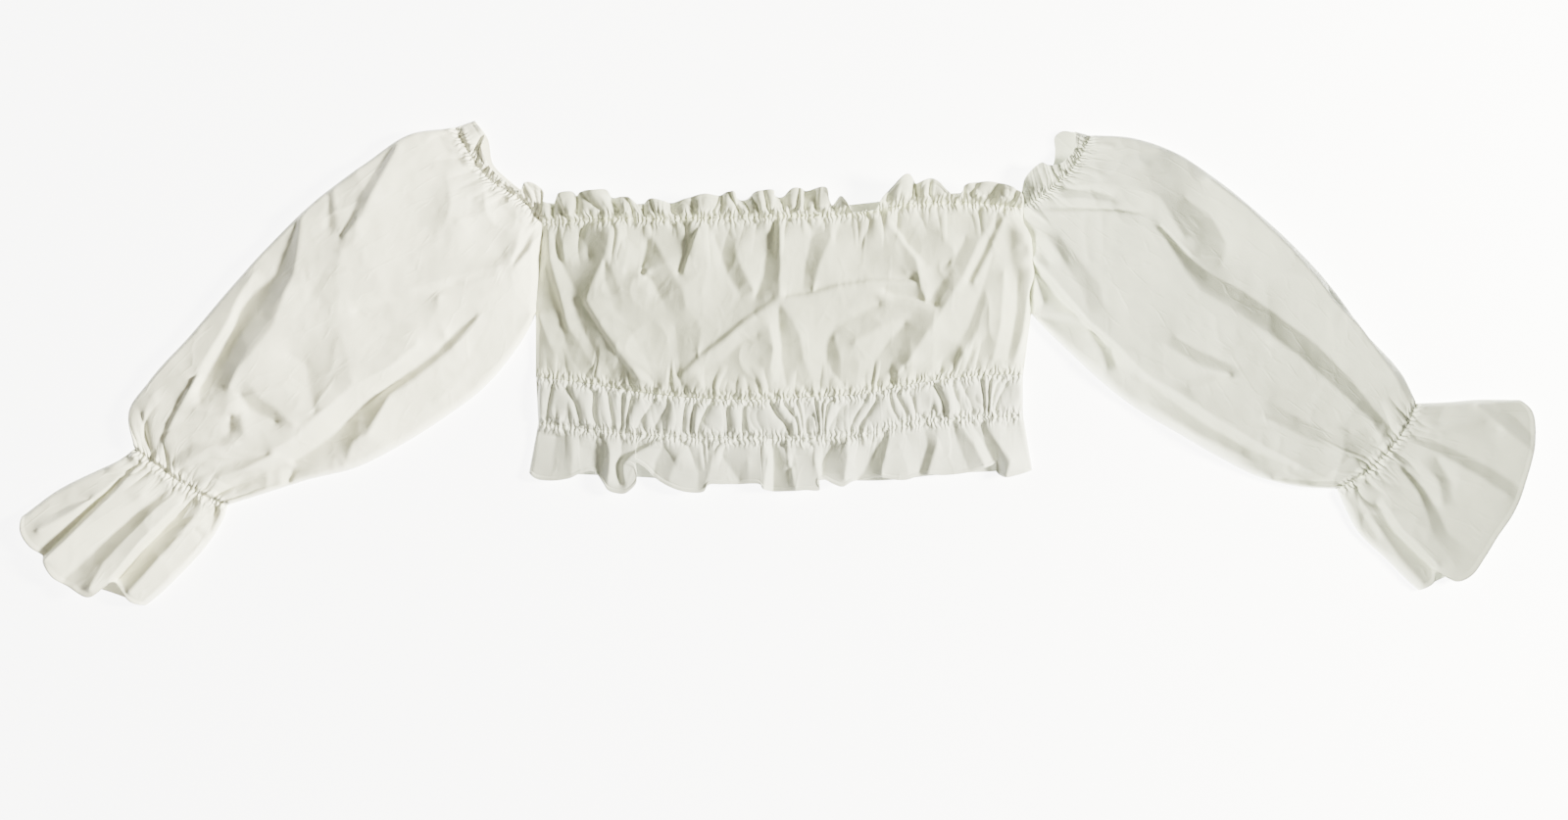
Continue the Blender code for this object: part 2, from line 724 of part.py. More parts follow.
def build_head_frill(side, head, edge_above, edge_below, seam_step):
    """The frill over a sleeve head: a strip from the bodice corner, round the sleeve's edge and back below."""
    foot = moved(curve_through(head), seam_step, HALF_GAP)
    wave = curve_through(edge_above)
    rim = moved(wave, seam_step, 0)
    rim_below = moved(curve_through(edge_below), seam_step, 0)
    rows = [0, 0.5, 1]
    upper_columns = HEAD_UPPER_COLUMNS
    lower_columns = HEAD_LOWER_COLUMNS
    outer, inner = [], []
    for along in rows:
        skins = []
        for sink, reach, floor, fold_inset in ((0.0, 0.012, 0.0, 0.0), (WALL, 0.02, WALL, 0.011)):
            strip = []
            for column in range(upper_columns + 1):
                share = 1 - (1 - reach) * column / upper_columns
                place = (1 - along) * foot(share) + along * rim(share)
                crest = max(0.0, wave(share)[2]) * along**FRILL_LIFT_POWER
                height = UPPER_TOP + crest + gather(column, HEAD_FRILL_LENGTH * along)
                strip.append((*place, height - sink))
            fold = (1 - along) * foot(fold_inset) + along * rim(fold_inset)
            strip.append((*fold, FOLD_MIDDLE))
            for column in range(lower_columns + 1):
                share = reach + (1 - reach) * column / lower_columns
                place = (1 - along) * foot(share) + along * rim_below(share)
                strip.append((*place, floor))
            skins.append(strip)
        outer.append(skins[0])
        inner.append(skins[1])
    build_wall("sleeve_neck_frill_" + side, outer, inner, closed=False)


def build_cuff(side, wrist, outer_side, inner_side, edge, edge_below, step):
    """The flared frill past the wrist elastic, a pressed tube with pleats on its upper layer."""
    shift = np.array(step, float)
    start = moved(curve_through(wrist), *step)
    rim = curve_through(edge)
    rim_below = curve_through(edge_below)
    side_a = eased(curve_through(outer_side), shift)
    side_b = eased(curve_through(inner_side), shift)
    lower_surface = patch(start, rim_below, side_a, side_b)

    def upper_surface(across, along):
        return lower_surface(across, along) + along**CUFF_NOTCH_POWER * (rim(across)[:2] - rim_below(across))

    def top(place, column, across, along):
        wave = max(0.0, rim(across)[2]) * along**CUFF_LIFT_POWER
        return UPPER_TOP + wave + gather(column, CUFF_LENGTH * along)

    rows = [0, 0.2, 0.5, 0.8, 1]
    grids = tube_grids(
        upper_surface, lower_surface, rows, SLEEVE_UPPER_COLUMNS, SLEEVE_LOWER_COLUMNS, top
    )
    build_wall("cuff_frill_" + side, *grids, closed=True)


for old in list(bpy.data.objects):
    bpy.data.objects.remove(old)

build_bodice()
build_neck_frills()
build_waistband()
build_hem_frill()
build_sleeve("left", LEFT_SLEEVE, LEFT_HEAD_ELASTIC, UNDERARM_LEFT, LEFT_WRIST, LEFT_SLEEVE_FOLDS, -SEAM_GAP)
build_sleeve(
    "right", RIGHT_SLEEVE, RIGHT_HEAD_ELASTIC, UNDERARM_RIGHT, RIGHT_WRIST, RIGHT_SLEEVE_FOLDS, SEAM_GAP
)
build_head_frill("left", LEFT_HEAD_ELASTIC, LEFT_HEAD_FRILL_EDGE, LEFT_HEAD_FRILL_EDGE_BELOW, -SEAM_GAP)
build_head_frill("right", RIGHT_HEAD_ELASTIC, RIGHT_HEAD_FRILL_EDGE, RIGHT_HEAD_FRILL_EDGE_BELOW, SEAM_GAP)
build_cuff(
    "left", LEFT_WRIST, LEFT_CUFF_OUTER, LEFT_CUFF_INNER, LEFT_CUFF_EDGE, LEFT_CUFF_EDGE_BELOW, (-0.2, -0.3)
)
build_cuff(
    "right", RIGHT_WRIST, RIGHT_CUFF_OUTER, RIGHT_CUFF_INNER, RIGHT_CUFF_EDGE, RIGHT_CUFF_EDGE_BELOW, (0.2, -0.3)
)
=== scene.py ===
"""Looks of the white cotton off-shoulder top, laid flat and seen from straight above.

Each piece is a thin shell on its solid's form. Its plan comes from the outline tables, and its height
from listed folds and from the gathers at each elastic. Lengths are in millimetres until a mesh
is made: X runs across the top, Y from hem to neckline and Z up.
"""
import json
import math
from collections import namedtuple

import bpy
import numpy as np
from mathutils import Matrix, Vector

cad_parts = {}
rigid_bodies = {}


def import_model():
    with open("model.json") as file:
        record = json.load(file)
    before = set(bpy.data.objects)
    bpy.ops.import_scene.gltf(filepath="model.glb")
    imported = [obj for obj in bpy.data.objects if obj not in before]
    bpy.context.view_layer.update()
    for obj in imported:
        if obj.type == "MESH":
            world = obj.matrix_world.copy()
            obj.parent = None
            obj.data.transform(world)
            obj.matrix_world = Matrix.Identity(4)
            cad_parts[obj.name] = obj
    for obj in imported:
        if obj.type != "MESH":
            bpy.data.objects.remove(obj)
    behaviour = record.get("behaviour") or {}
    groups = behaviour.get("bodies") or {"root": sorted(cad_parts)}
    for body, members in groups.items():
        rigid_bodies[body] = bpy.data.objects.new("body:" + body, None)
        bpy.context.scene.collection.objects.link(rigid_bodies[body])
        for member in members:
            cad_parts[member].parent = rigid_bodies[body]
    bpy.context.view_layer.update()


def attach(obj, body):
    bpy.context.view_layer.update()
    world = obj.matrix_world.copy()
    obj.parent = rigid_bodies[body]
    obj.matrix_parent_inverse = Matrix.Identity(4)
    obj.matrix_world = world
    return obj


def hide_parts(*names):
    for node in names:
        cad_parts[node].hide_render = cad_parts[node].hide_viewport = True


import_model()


# Bodice: a front and a back of white cotton poplin, sewn together at the sides below the armholes. The
# front puffs up between the neck elastic and the waist elastic and carries the main folds, and the back
# lies flat on the table under it.
METRES_PER_MM = 0.001
FAR = 99.0
CLOTH = 0.45
LOWER_Z = 0.35
UPPER_Z = 3.1
FOLD_Z = 1.7
FRONT_COLUMNS = 560
FRONT_ROWS = 86
BACK_COLUMNS = 90
BACK_ROWS = 25
BODICE_WIDTH = 420.0
LEFT_ARMHOLE_END = 0.58
RIGHT_ARMHOLE_END = 0.63
SIDE_SEAM_HEIGHT = 1
ROLL_HEIGHT = 6.0
ROLL_REACH = 7.5

Place = namedtuple("Place", "x y")
Knot = namedtuple("Knot", "x y z")

NECK_LEFT = Place(-203, 121)
NECK_RIGHT = Place(213, 134)
UNDERARM_LEFT = Place(-209, 43)
UNDERARM_RIGHT = Place(220, 43)

# Elastic lines across the front, left to right
NECK_ELASTIC = [
    NECK_LEFT,
    Place(-164, 124),
    Place(-79, 125),
    Place(6, 127),
    Place(57, 129),
    Place(84, 132),
    Place(112, 137),
    Place(176, 138),
    NECK_RIGHT,
]
UPPER_WAIST_ELASTIC = [
    Place(-209, -12),
    Place(-164, -18),
    Place(-122, -25),
    Place(-28, -32),
    Place(23, -30),
    Place(74, -27),
    Place(125, -17),
    Place(176, -11),
    Place(213, -10),
]

# Crests and valleys, each a line of places with the cloth's height there. Between the lines the cloth is
# drawn tight, so that its faces are as plain and its creases as crisp as poplin's.
BODICE_LINES = [
    # Left edge and the long fold that falls from the left corner
    [Knot(-197, 114, 4), Knot(-196, 92, 7), Knot(-188, 63, 9), Knot(-181, 34, 9),
     Knot(-169, 15, 8), Knot(-156, -5, 6), Knot(-144, -17, 2)],
    [Knot(-202, 102, 2), Knot(-198, 73, 4), Knot(-187, 45, 5), Knot(-184, 22, 5),
     Knot(-178, 1, 4), Knot(-169, -11, 2)],
    [Knot(-206, 41, 6), Knot(-197, 19, 7), Knot(-187, -3, 3)],
    [Knot(-193, 111, 2), Knot(-185, 84, 4), Knot(-176, 66, 6), Knot(-168, 50, 9),
     Knot(-159, 37, 11), Knot(-150, 22, 11), Knot(-135, -1, 10), Knot(-123, -15, 7)],
    [Knot(-176, 56, 6), Knot(-171, 39, 7), Knot(-164, 22, 7), Knot(-154, 4, 7), Knot(-143, -11, 4)],
    [Knot(-186, 114, 5), Knot(-185, 102, 8), Knot(-183, 89, 7)],
    [Knot(-174, 119, 1), Knot(-165, 102, 3), Knot(-162, 91, 4)],
    # Crest of the billow, from the neck down to its left corner and along its lower edge
    [Knot(-161, 125, 2), Knot(-149, 125, 4), Knot(-143, 113, 9), Knot(-147, 92, 11),
     Knot(-156, 74, 12), Knot(-164, 54, 13)],
    [Knot(-164, 54, 13), Knot(-156, 40, 15), Knot(-146, 25, 15), Knot(-129, 1, 14),
     Knot(-117, -14, 12), Knot(-110, -18, 9)],
    [Knot(-110, -18, 9), Knot(-85, -16, 8), Knot(-60, -22, 8), Knot(-28, -24, 8), Knot(-6, -23, 7)],
    # Star-shaped creases on the left
    [Knot(-149, 87, 9), Knot(-148, 70, 10), Knot(-141, 56, 12)],
    [Knot(-143, 96, 10), Knot(-141, 80, 12), Knot(-134, 60, 13)],
    [Knot(-131, 71, 12), Knot(-119, 73, 13), Knot(-110, 77, 12)],
    [Knot(-130, 78, 9), Knot(-118, 80, 9), Knot(-111, 85, 8)],
    [Knot(-143, 125, 5), Knot(-136, 112, 9), Knot(-133, 100, 11)],
    [Knot(-131, 118, 4), Knot(-128, 107, 7), Knot(-118, 100, 7)],
    [Knot(-132, 119, 5), Knot(-129, 97, 10), Knot(-135, 74, 12)],
    [Knot(-112, 105, 4), Knot(-115, 90, 5), Knot(-117, 76, 7)],
    [Knot(-117, 76, 7), Knot(-110, 74, 8), Knot(-103, 61, 9), Knot(-95, 44, 11)],
    [Knot(-107, 108, 8), Knot(-99, 94, 11), Knot(-88, 74, 14)],
    [Knot(-88, 74, 14), Knot(-80, 62, 15), Knot(-78, 49, 15)],
    [Knot(-68, 119, 3), Knot(-74, 106, 6), Knot(-79, 92, 9), Knot(-85, 77, 11)],
    [Knot(-64, 121, 5), Knot(-71, 106, 10), Knot(-76, 92, 13), Knot(-80, 78, 15)],
    [Knot(-127, 122, 2), Knot(-118, 113, 3)],
    # Soft trough behind the lower edge, and the small fold over the diagonal one
    [Knot(-146, 57, 12), Knot(-130, 34, 11), Knot(-116, 11, 10), Knot(-106, -10, 8)],
    [Knot(-130, 68, 13), Knot(-111, 60, 13)],
    [Knot(-88, 30, 10), Knot(-86, 9, 9), Knot(-84, -11, 7)],
    [Knot(-74, 45, 14), Knot(-65, 29, 14), Knot(-68, 6, 13)],
    # Column under the neck, left of the diagonal fold
    [Knot(-61, 114, 8), Knot(-60, 85, 12), Knot(-65, 60, 15)],
    [Knot(-54, 109, 4), Knot(-48, 91, 6), Knot(-42, 74, 8), Knot(-31, 58, 10)],
    [Knot(-31, 113, 6), Knot(-36, 99, 10), Knot(-31, 84, 12), Knot(-20, 62, 14)],
    [Knot(-2, 116, 3), Knot(-9, 98, 6), Knot(-12, 76, 9), Knot(-19, 56, 11)],
    # The apex, its diagonal fold and the folds that meet it
    [Knot(3, 123, 4), Knot(3, 102, 12), Knot(3, 77, 16), Knot(2, 54, 18)],
    [Knot(2, 54, 18), Knot(-28, 34, 17), Knot(-45, 19, 16), Knot(-68, 2, 13), Knot(-84, -13, 9)],
    [Knot(-4, 57, 15), Knot(-30, 38, 14), Knot(-47, 24, 13), Knot(-70, 6, 11), Knot(-85, -8, 8)],
    [Knot(38, 123, 2), Knot(29, 107, 5), Knot(24, 85, 9), Knot(22, 62, 12)],
    [Knot(46, 120, 4), Knot(47, 108, 8), Knot(37, 85, 13), Knot(31, 62, 15)],
    [Knot(55, 124, 2), Knot(51, 111, 4), Knot(50, 101, 8)],
    [Knot(2, 54, 18), Knot(26, 57, 17), Knot(51, 64, 17), Knot(81, 69, 16), Knot(101, 69, 14),
     Knot(122, 68, 13)],
    [Knot(7, 58, 13), Knot(26, 61, 12), Knot(51, 68, 12), Knot(81, 73, 11), Knot(101, 73, 10),
     Knot(119, 72, 9)],
    [Knot(92, 62, 11), Knot(101, 58, 10), Knot(121, 55, 10), Knot(137, 49, 10)],
    [Knot(84, 60, 14), Knot(99, 53, 14), Knot(119, 50, 15), Knot(139, 44, 15)],
    [Knot(2, 54, 18), Knot(13, 38, 16), Knot(20, 23, 15), Knot(23, 4, 12), Knot(31, -17, 5)],
    # Below the apex
    [Knot(-66, -8, 8), Knot(-47, 1, 9), Knot(-34, 14, 10), Knot(-17, 24, 12)],
    [Knot(-20, 41, 16), Knot(-7, 31, 16), Knot(-3, 13, 15), Knot(-6, -6, 11), Knot(-2, -19, 5)],
    [Knot(1, 46, 14), Knot(1, 34, 11), Knot(3, 18, 9), Knot(4, 0, 6), Knot(8, -19, 2)],
    [Knot(17, -1, 9), Knot(23, -18, 5)],
    [Knot(42, 17, 8), Knot(43, -1, 5), Knot(45, -22, 1)],
    [Knot(42, 17, 8), Knot(50, 31, 9), Knot(67, 40, 10), Knot(88, 51, 10)],
    [Knot(50, 22, 11), Knot(55, 6, 11), Knot(55, -15, 5)],
    [Knot(65, 16, 13), Knot(95, 34, 14), Knot(116, 41, 13)],
    [Knot(80, -18, 1), Knot(85, 1, 6), Knot(95, 17, 8), Knot(110, 34, 10)],
    [Knot(67, -21, 4), Knot(71, 0, 9)],
    # Pocket under the neck on the right
    [Knot(91, 125, 4), Knot(106, 108, 9), Knot(120, 89, 12), Knot(123, 68, 15), Knot(128, 54, 14)],
    [Knot(101, 121, 2), Knot(113, 100, 5), Knot(129, 85, 6), Knot(149, 86, 6)],
    [Knot(125, 118, 3), Knot(127, 106, 5)],
    [Knot(140, 113, 8), Knot(152, 97, 9)],
    [Knot(64, 122, 2), Knot(74, 111, 5), Knot(71, 89, 8)],
    [Knot(81, 123, 4), Knot(95, 104, 9), Knot(112, 77, 12)],
    [Knot(162, 108, 6), Knot(149, 83, 9), Knot(141, 68, 10), Knot(133, 57, 10)],
    [Knot(184, 119, 9), Knot(173, 102, 12), Knot(160, 74, 15), Knot(144, 48, 16)],
    [Knot(190, 125, 8), Knot(179, 99, 10), Knot(164, 70, 12)],
    [Knot(195, 123, 11), Knot(184, 97, 13), Knot(169, 68, 15)],
    [Knot(144, 48, 16), Knot(126, 22, 16), Knot(113, 1, 14), Knot(104, -10, 8)],
    [Knot(110, -3, 5), Knot(101, -14, 2), Knot(93, -22, 1)],
    # Long folds at the right
    [Knot(186, 92, 12), Knot(178, 68, 12), Knot(164, 30, 10), Knot(152, 11, 8), Knot(140, -2, 4)],
    [Knot(181, 60, 13), Knot(173, 28, 13), Knot(161, 6, 10), Knot(156, -8, 4)],
    [Knot(181, 22, 10), Knot(170, 11, 7), Knot(164, -6, 1)],
    [Knot(195, 77, 14), Knot(192, 34, 14), Knot(186, 4, 8)],
    [Knot(210, 111, 5), Knot(207, 85, 7), Knot(206, 43, 7), Knot(199, 4, 4)],
    [Knot(211, 80, 8), Knot(216, 57, 10), Knot(212, 26, 9), Knot(204, 0, 5)],
    [Knot(201, 126, 7), Knot(207, 111, 8), Knot(211, 92, 7)],
    [Knot(188, -6, 5), Knot(194, -3, 6)],
]

RELIEF = 1.05
BODICE_CREASES = 1.1
LINE_HOLD = 6.0
GRID_MARGIN = 8
SETTLING_CELLS = (8.0, 4.0, 2.0, 1.0)
SETTLING_ROUNDS = 160
MOST_HEIGHT = 20.0
MORE_HEIGHT = 13.0

# Gathers at an elastic: small tucks at its stitches, and larger pleats that rise from it
TUCK_PITCH = 5.5
TUCK_REACH = 8.0
TUCK_HEIGHT = 1.35
ELASTIC_RISE = 2.5
STITCH_DEPTH = 0.15
STITCH_WIDTH = 1.1
GATHER_HEIGHTS = (0.45, 1.35)
GATHER_LENGTHS = (0.4, 1.5)
GATHER_LEAN = 0.38


def through(at, knots):
    """A smooth curve that passes knots[i] at share at[i]."""
    slopes = np.gradient(knots, at, axis=0)

    def point(share):
        share = np.clip(np.asarray(share, float), 0, 1)
        i = np.clip(np.searchsorted(at, share, side="right") - 1, 0, len(at) - 2)
        span = (at[i + 1] - at[i])[..., None]
        f = (share - at[i])[..., None] / span
        return (
            (1 + 2 * f) * (1 - f) ** 2 * knots[i]
            + f * (1 - f) ** 2 * span * slopes[i]
            + f * f * (3 - 2 * f) * knots[i + 1]
            + f * f * (f - 1) * span * slopes[i + 1]
        )

    return point


def curve_through(places):
    """A smooth curve through the places, as a function of 0 to 1 along its length."""
    knots = np.array([tuple(place) for place in places], float)
    steps = np.linalg.norm(np.diff(knots, axis=0), axis=1)
    return through(np.concatenate([[0.0], np.cumsum(steps)]) / steps.sum(), knots)


def one_after_other(first, second, turn):
    """Two curves as one: the first up to the share given by turn, the second from there."""

    def point(share):
        share = np.asarray(share, float)
        early = first(np.clip(share / turn, 0, 1))
        late = second(np.clip((share - turn) / (1 - turn), 0, 1))
        return np.where((share <= turn)[..., None], early, late)

    return point


def straight(a, b):
    first = np.array(a, float)
    return lambda share: first + np.asarray(share, float)[..., None] * (np.array(b, float) - first)


def patch(start, end, side_a, side_b):
    """A surface between four edge curves that meet at their ends, as a function of (across, along)."""
    corner = {(a, b): (start, end)[b](np.float64(a)) for a in (0, 1) for b in (0, 1)}

    def point(across, along):
        u = across[..., None]
        v = along[..., None]
        between_ends = (1 - v) * start(across) + v * end(across)
        between_sides = (1 - u) * side_a(along) + u * side_b(along)
        blend = (1 - v) * ((1 - u) * corner[0, 0] + u * corner[1, 0]) + v * (
            (1 - u) * corner[0, 1] + u * corner[1, 1]
        )
        return between_ends + between_sides - blend

    return point


def settled(lines):
    """The height of cloth drawn tight between lines of knots, as a function of place in mm.

    It settles on a coarse grid first and then on finer ones.
    """
    knots = np.array([knot for line in lines for knot in line], float)
    low = knots[:, :2].min(0) - GRID_MARGIN
    high = knots[:, :2].max(0) + GRID_MARGIN
    sample = None
    for cell in SETTLING_CELLS:
        shape = tuple(((high - low) / cell).astype(int) + 2)
        pull = np.zeros(shape)
        moment = np.zeros(shape)
        for line in lines:
            for a, b in zip(line, line[1:]):
                steps = int(2 * math.dist(a[:2], b[:2]) / cell) + 2
                spots = np.array(a) + np.linspace(0, 1, steps)[:, None] * (np.array(b, float) - a)
                at = (spots[:, :2] - low) / cell
                corner = at.astype(int)
                f = at - corner
                for di, dj in ((0, 0), (0, 1), (1, 0), (1, 1)):
                    share = np.abs(1 - di - f[:, 0]) * np.abs(1 - dj - f[:, 1])
                    np.add.at(pull, (corner[:, 0] + di, corner[:, 1] + dj), share)
                    np.add.at(moment, (corner[:, 0] + di, corner[:, 1] + dj), share * spots[:, 2])
        target = moment / np.maximum(pull, 1e-9)
        hold = LINE_HOLD * np.minimum(pull, 1)
        if sample is None:
            height = np.full(shape, knots[:, 2].mean())
        else:
            i, j = np.meshgrid(*(np.arange(n) * cell for n in shape), indexing="ij")
            height = sample(np.stack([i, j], -1) + low)
        for _ in range(SETTLING_ROUNDS):
            height = (mean_around(height) + hold * target) / (1 + hold)
        sample = sampler(height, low, cell)
    # The creases lose their last sharpness
    height = (height + mean_around(height)) / 2
    return sampler(height, low, cell)


def mean_around(height):
    wide = np.pad(height, 1, mode="edge")
    return (wide[2:, 1:-1] + wide[:-2, 1:-1] + wide[1:-1, 2:] + wide[1:-1, :-2]) / 4


def sampler(height, low, cell):
    """The height of a grid of cells at any place, read between its four nearest corners."""

    def sample(place):
        at = np.clip((place - low) / cell, 0, np.array(height.shape) - 1.001)
        corner = at.astype(int)
        i, j = corner[..., 0], corner[..., 1]
        f, g = at[..., 0] - i, at[..., 1] - j
        near = height[i, j] * (1 - f) + height[i + 1, j] * f
        far = height[i, j + 1] * (1 - f) + height[i + 1, j + 1] * f
        return near * (1 - g) + far * g

    return sample


def distance(a, b):
    return np.linalg.norm(a - b, axis=-1)


def lifted(place, height):
    """Places x, y and their heights as x, y, z."""
    return np.concatenate([place, height[..., None]], -1)


def level(places, height):
    """A line of knots at one height, as at an elastic or a seam."""
    return [Knot(*place, height) for place in places]


def noise(place, size, seed):
    """Smooth unevenness between -1 and 1 with features of about that size."""
    lattice = np.random.default_rng(seed).uniform(-1, 1, (97, 97))
    spot = place / size + 40.0
    cell = np.floor(spot).astype(int)
    f = spot - cell
    f = f * f * (3 - 2 * f)
    i = cell[..., 0] % 97
    j = cell[..., 1] % 97
    i2 = (i + 1) % 97
    j2 = (j + 1) % 97
    low = lattice[i, j] * (1 - f[..., 0]) + lattice[i2, j] * f[..., 0]
    high = lattice[i, j2] * (1 - f[..., 0]) + lattice[i2, j2] * f[..., 0]
    return low * (1 - f[..., 1]) + high * f[..., 1]


def crumple(place, size, seed):
    """Faint creases in all directions: sharp crests between soft hollows, from 0 to 1."""
    warp = np.stack([noise(place, size * 2, seed + 1), noise(place, size * 2, seed + 2)], -1) * size * 0.6
    return 1 - np.abs(noise(place + warp, size, seed)) ** 0.8


def ramp(value, low, high):
    """0 below low, 1 above high, and smooth between them."""
    t = np.clip((value - low) / (high - low), 0, 1)
    return t * t * (3 - 2 * t)


def gathers(run, away, seed, pitch, height, reach, spread=0.5):
    """Round gathers with sharp valleys between them, uneven in width, height, length and lean.

    run is the way along the elastic and away the distance from it. They die away within about reach.
    """
    rng = np.random.default_rng(seed)
    count = int(np.max(run) / pitch) + 16
    feet = np.cumsum(pitch * rng.uniform(1 - spread, 1 + spread, count)) - 7 * pitch
    widths = np.diff(feet, append=feet[-1] + pitch) / pitch
    high = rng.uniform(*GATHER_HEIGHTS, count) * widths**0.7
    length = reach * rng.uniform(*GATHER_LENGTHS, count)
    drift = np.interp(run, feet, rng.uniform(-GATHER_LEAN, GATHER_LEAN, count)) * away
    spot = np.stack([run + 200, away * 0.7 + 3 * (seed % 17)], -1)
    wander = 0.8 * pitch * noise(spot, 1.6 * pitch, seed + 3) * ramp(away, 0, 0.6 * pitch)
    phase = np.interp(run - drift + wander, feet, np.arange(count))
    cell = np.clip(phase.astype(int), 0, count - 1)
    crest = np.abs(np.sin(np.pi * phase)) ** 0.7
    fade = np.clip(1 - away / length[cell], 0, 1)
    return height * high[cell] * crest * fade * (2 - fade)


def tucks(run, away, seed):
    """The small tucks at an elastic's stitches, with the stitch line pulled in."""
    small = gathers(run, away, seed, TUCK_PITCH, TUCK_HEIGHT, TUCK_REACH, spread=0.4)
    return small - STITCH_DEPTH * np.exp(-((away / STITCH_WIDTH) ** 2))


def pleats(run, away, seed, reach, height, pitch):
    """Larger gathers that rise from an elastic: wide ones with narrower ones between them."""
    wide = gathers(run, away, seed, pitch, height, reach)
    narrow = gathers(run, away, seed + 50, 0.6 * pitch, 0.35 * height, 0.45 * reach)
    return (0.85 * wide + narrow) * ramp(away, 0, 5)


def at_least_zero(height, softness=1.2):
    return 0.5 * (height + np.sqrt(height * height + softness * softness)) - 0.15 * softness


def below_ceiling(height):
    """The height, flattened more and more above the height that light cloth stands up to."""
    over = np.maximum(height - MOST_HEIGHT, 0)
    return np.minimum(height, MOST_HEIGHT) + over / (1 + over / MORE_HEIGHT)


def unevenness(place, seed):
    """Small waves and faint creases that the cloth has everywhere, in mm."""
    waves = 0.8 * noise(place, 26, seed) + 0.3 * noise(place, 10, seed + 5)
    waves += 0.1 * noise(place, 4, seed + 9)
    long_creases = 2.6 * crumple(place, 34, seed + 20) * ramp(noise(place, 45, seed + 30), -0.4, 0.6)
    short_creases = 1.1 * crumple(place, 15, seed + 25) * ramp(noise(place, 35, seed + 33), -0.2, 0.7)
    return waves + long_creases + short_creases


def spaced(count, dense_start, dense_end):
    """Shares from 0 to 1, closer together at either end where the numbers say so."""
    t = np.linspace(0, 1, count + 1)
    weight = 1 - dense_start * np.exp(-((t / 0.12) ** 2)) - dense_end * np.exp(-(((1 - t) / 0.12) ** 2))
    share = np.concatenate([[0.0], np.cumsum((weight[1:] + weight[:-1]) / 2)])
    return share / share[-1]


def add_cloth(name, points, flat_cut, elastic, closed=False):
    """One piece of cloth: a grid with its points set on the piece's form, closed to a tube if asked.

    points holds rows of x, y, z in mm, flat_cut each point's place on the flat cut, for the weave, and
    elastic its way along the nearest elastic and its distance from it, for the fine tucks.
    """
    if closed:
        last = flat_cut[:, -1:] + (flat_cut[:, -1:] - flat_cut[:, -2:-1])
        points = np.concatenate([points, points[:, :1]], 1)
        flat_cut = np.concatenate([flat_cut, last], 1)
        elastic = np.concatenate([elastic, elastic[:, :1]], 1)
    rows, columns = points.shape[:2]
    bpy.ops.object.select_all(action="DESELECT")
    bpy.ops.mesh.primitive_grid_add(x_subdivisions=columns - 1, y_subdivisions=rows - 1, size=1)
    piece = bpy.context.object
    piece.name = name
    mesh = piece.data
    mesh.name = name
    mesh.vertices.foreach_set("co", (points.reshape(-1, 3) * METRES_PER_MM).astype(np.float32).ravel())
    corners = np.empty(len(mesh.loops), np.int32)
    mesh.loops.foreach_get("vertex_index", corners)
    mesh.uv_layers[0].name = "cloth"
    mesh.uv_layers.new(name="elastic")
    for layer, places in (("cloth", flat_cut), ("elastic", elastic)):
        centimetres = (places.reshape(-1, 2)[corners] / 10).astype(np.float32)
        mesh.uv_layers[layer].data.foreach_set("uv", centimetres.ravel())
    mesh.update()
    if closed:
        bpy.ops.object.mode_set(mode="EDIT")
        bpy.ops.mesh.select_all(action="SELECT")
        bpy.ops.mesh.remove_doubles(threshold=1e-6)
        bpy.ops.object.mode_set(mode="OBJECT")
    bpy.ops.object.shade_smooth()
    wall = piece.modifiers.new("cloth", "SOLIDIFY")
    wall.thickness = CLOTH * METRES_PER_MM
    wall.offset = 0.0
    return piece


def finish_cloth(piece, material, node):
    piece.data.materials.clear()
    piece.data.materials.append(material)
    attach(piece, "root")
    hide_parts(node)


# White cotton poplin: a plain weave drawn on the flat cut, with slubs and an uneven tone. Each material
# has its own tint of the same cotton. The sleeves' tints are painted light: lighter or darker because the
# sleeves lie in a little more or less light than the body. The waistband and hem take a paler, bluer tint
# than the body.
def math_node(tree, operation, first, second=None):
    node = tree.nodes.new("ShaderNodeMath")
    node.operation = operation
    for socket, value in zip(node.inputs, (first, second)):
        if value is None:
            continue
        if isinstance(value, (int, float)):
            socket.default_value = value
        else:
            tree.links.new(value, socket)
    return node.outputs[0]


def noise_node(tree, place, scale, detail=2.0):
    node = tree.nodes.new("ShaderNodeTexNoise")
    node.inputs["Scale"].default_value = scale
    node.inputs["Detail"].default_value = detail
    tree.links.new(place, node.inputs["Vector"])
    return node.outputs["Fac"]


def map_node(tree, value, before, after, kind="LINEAR"):
    """The value brought from one range, before, to the other, after."""
    node = tree.nodes.new("ShaderNodeMapRange")
    node.interpolation_type = kind
    for name, number in zip(("From Min", "From Max", "To Min", "To Max"), (*before, *after)):
        node.inputs[name].default_value = number
    tree.links.new(value, node.inputs["Value"])
    return node.outputs["Result"]


def bump_node(tree, height, distance, strength=1.0, under=None):
    """A relief of that depth in metres, on top of the relief under it."""
    node = tree.nodes.new("ShaderNodeBump")
    node.inputs["Distance"].default_value = distance
    node.inputs["Strength"].default_value = strength
    tree.links.new(height, node.inputs["Height"])
    if under is not None:
        tree.links.new(under, node.inputs["Normal"])
    return node.outputs["Normal"]


cotton = bpy.data.node_groups.new("cotton poplin", "ShaderNodeTree")
tint_input = cotton.interface.new_socket("Tint", in_out="INPUT", socket_type="NodeSocketColor")
tint_input.default_value = (0.8, 0.8, 0.8, 1)
cotton.interface.new_socket("Color", in_out="OUTPUT", socket_type="NodeSocketColor")
cotton.interface.new_socket("Normal", in_out="OUTPUT", socket_type="NodeSocketVector")
inputs = cotton.nodes.new("NodeGroupInput")
outputs = cotton.nodes.new("NodeGroupOutput")

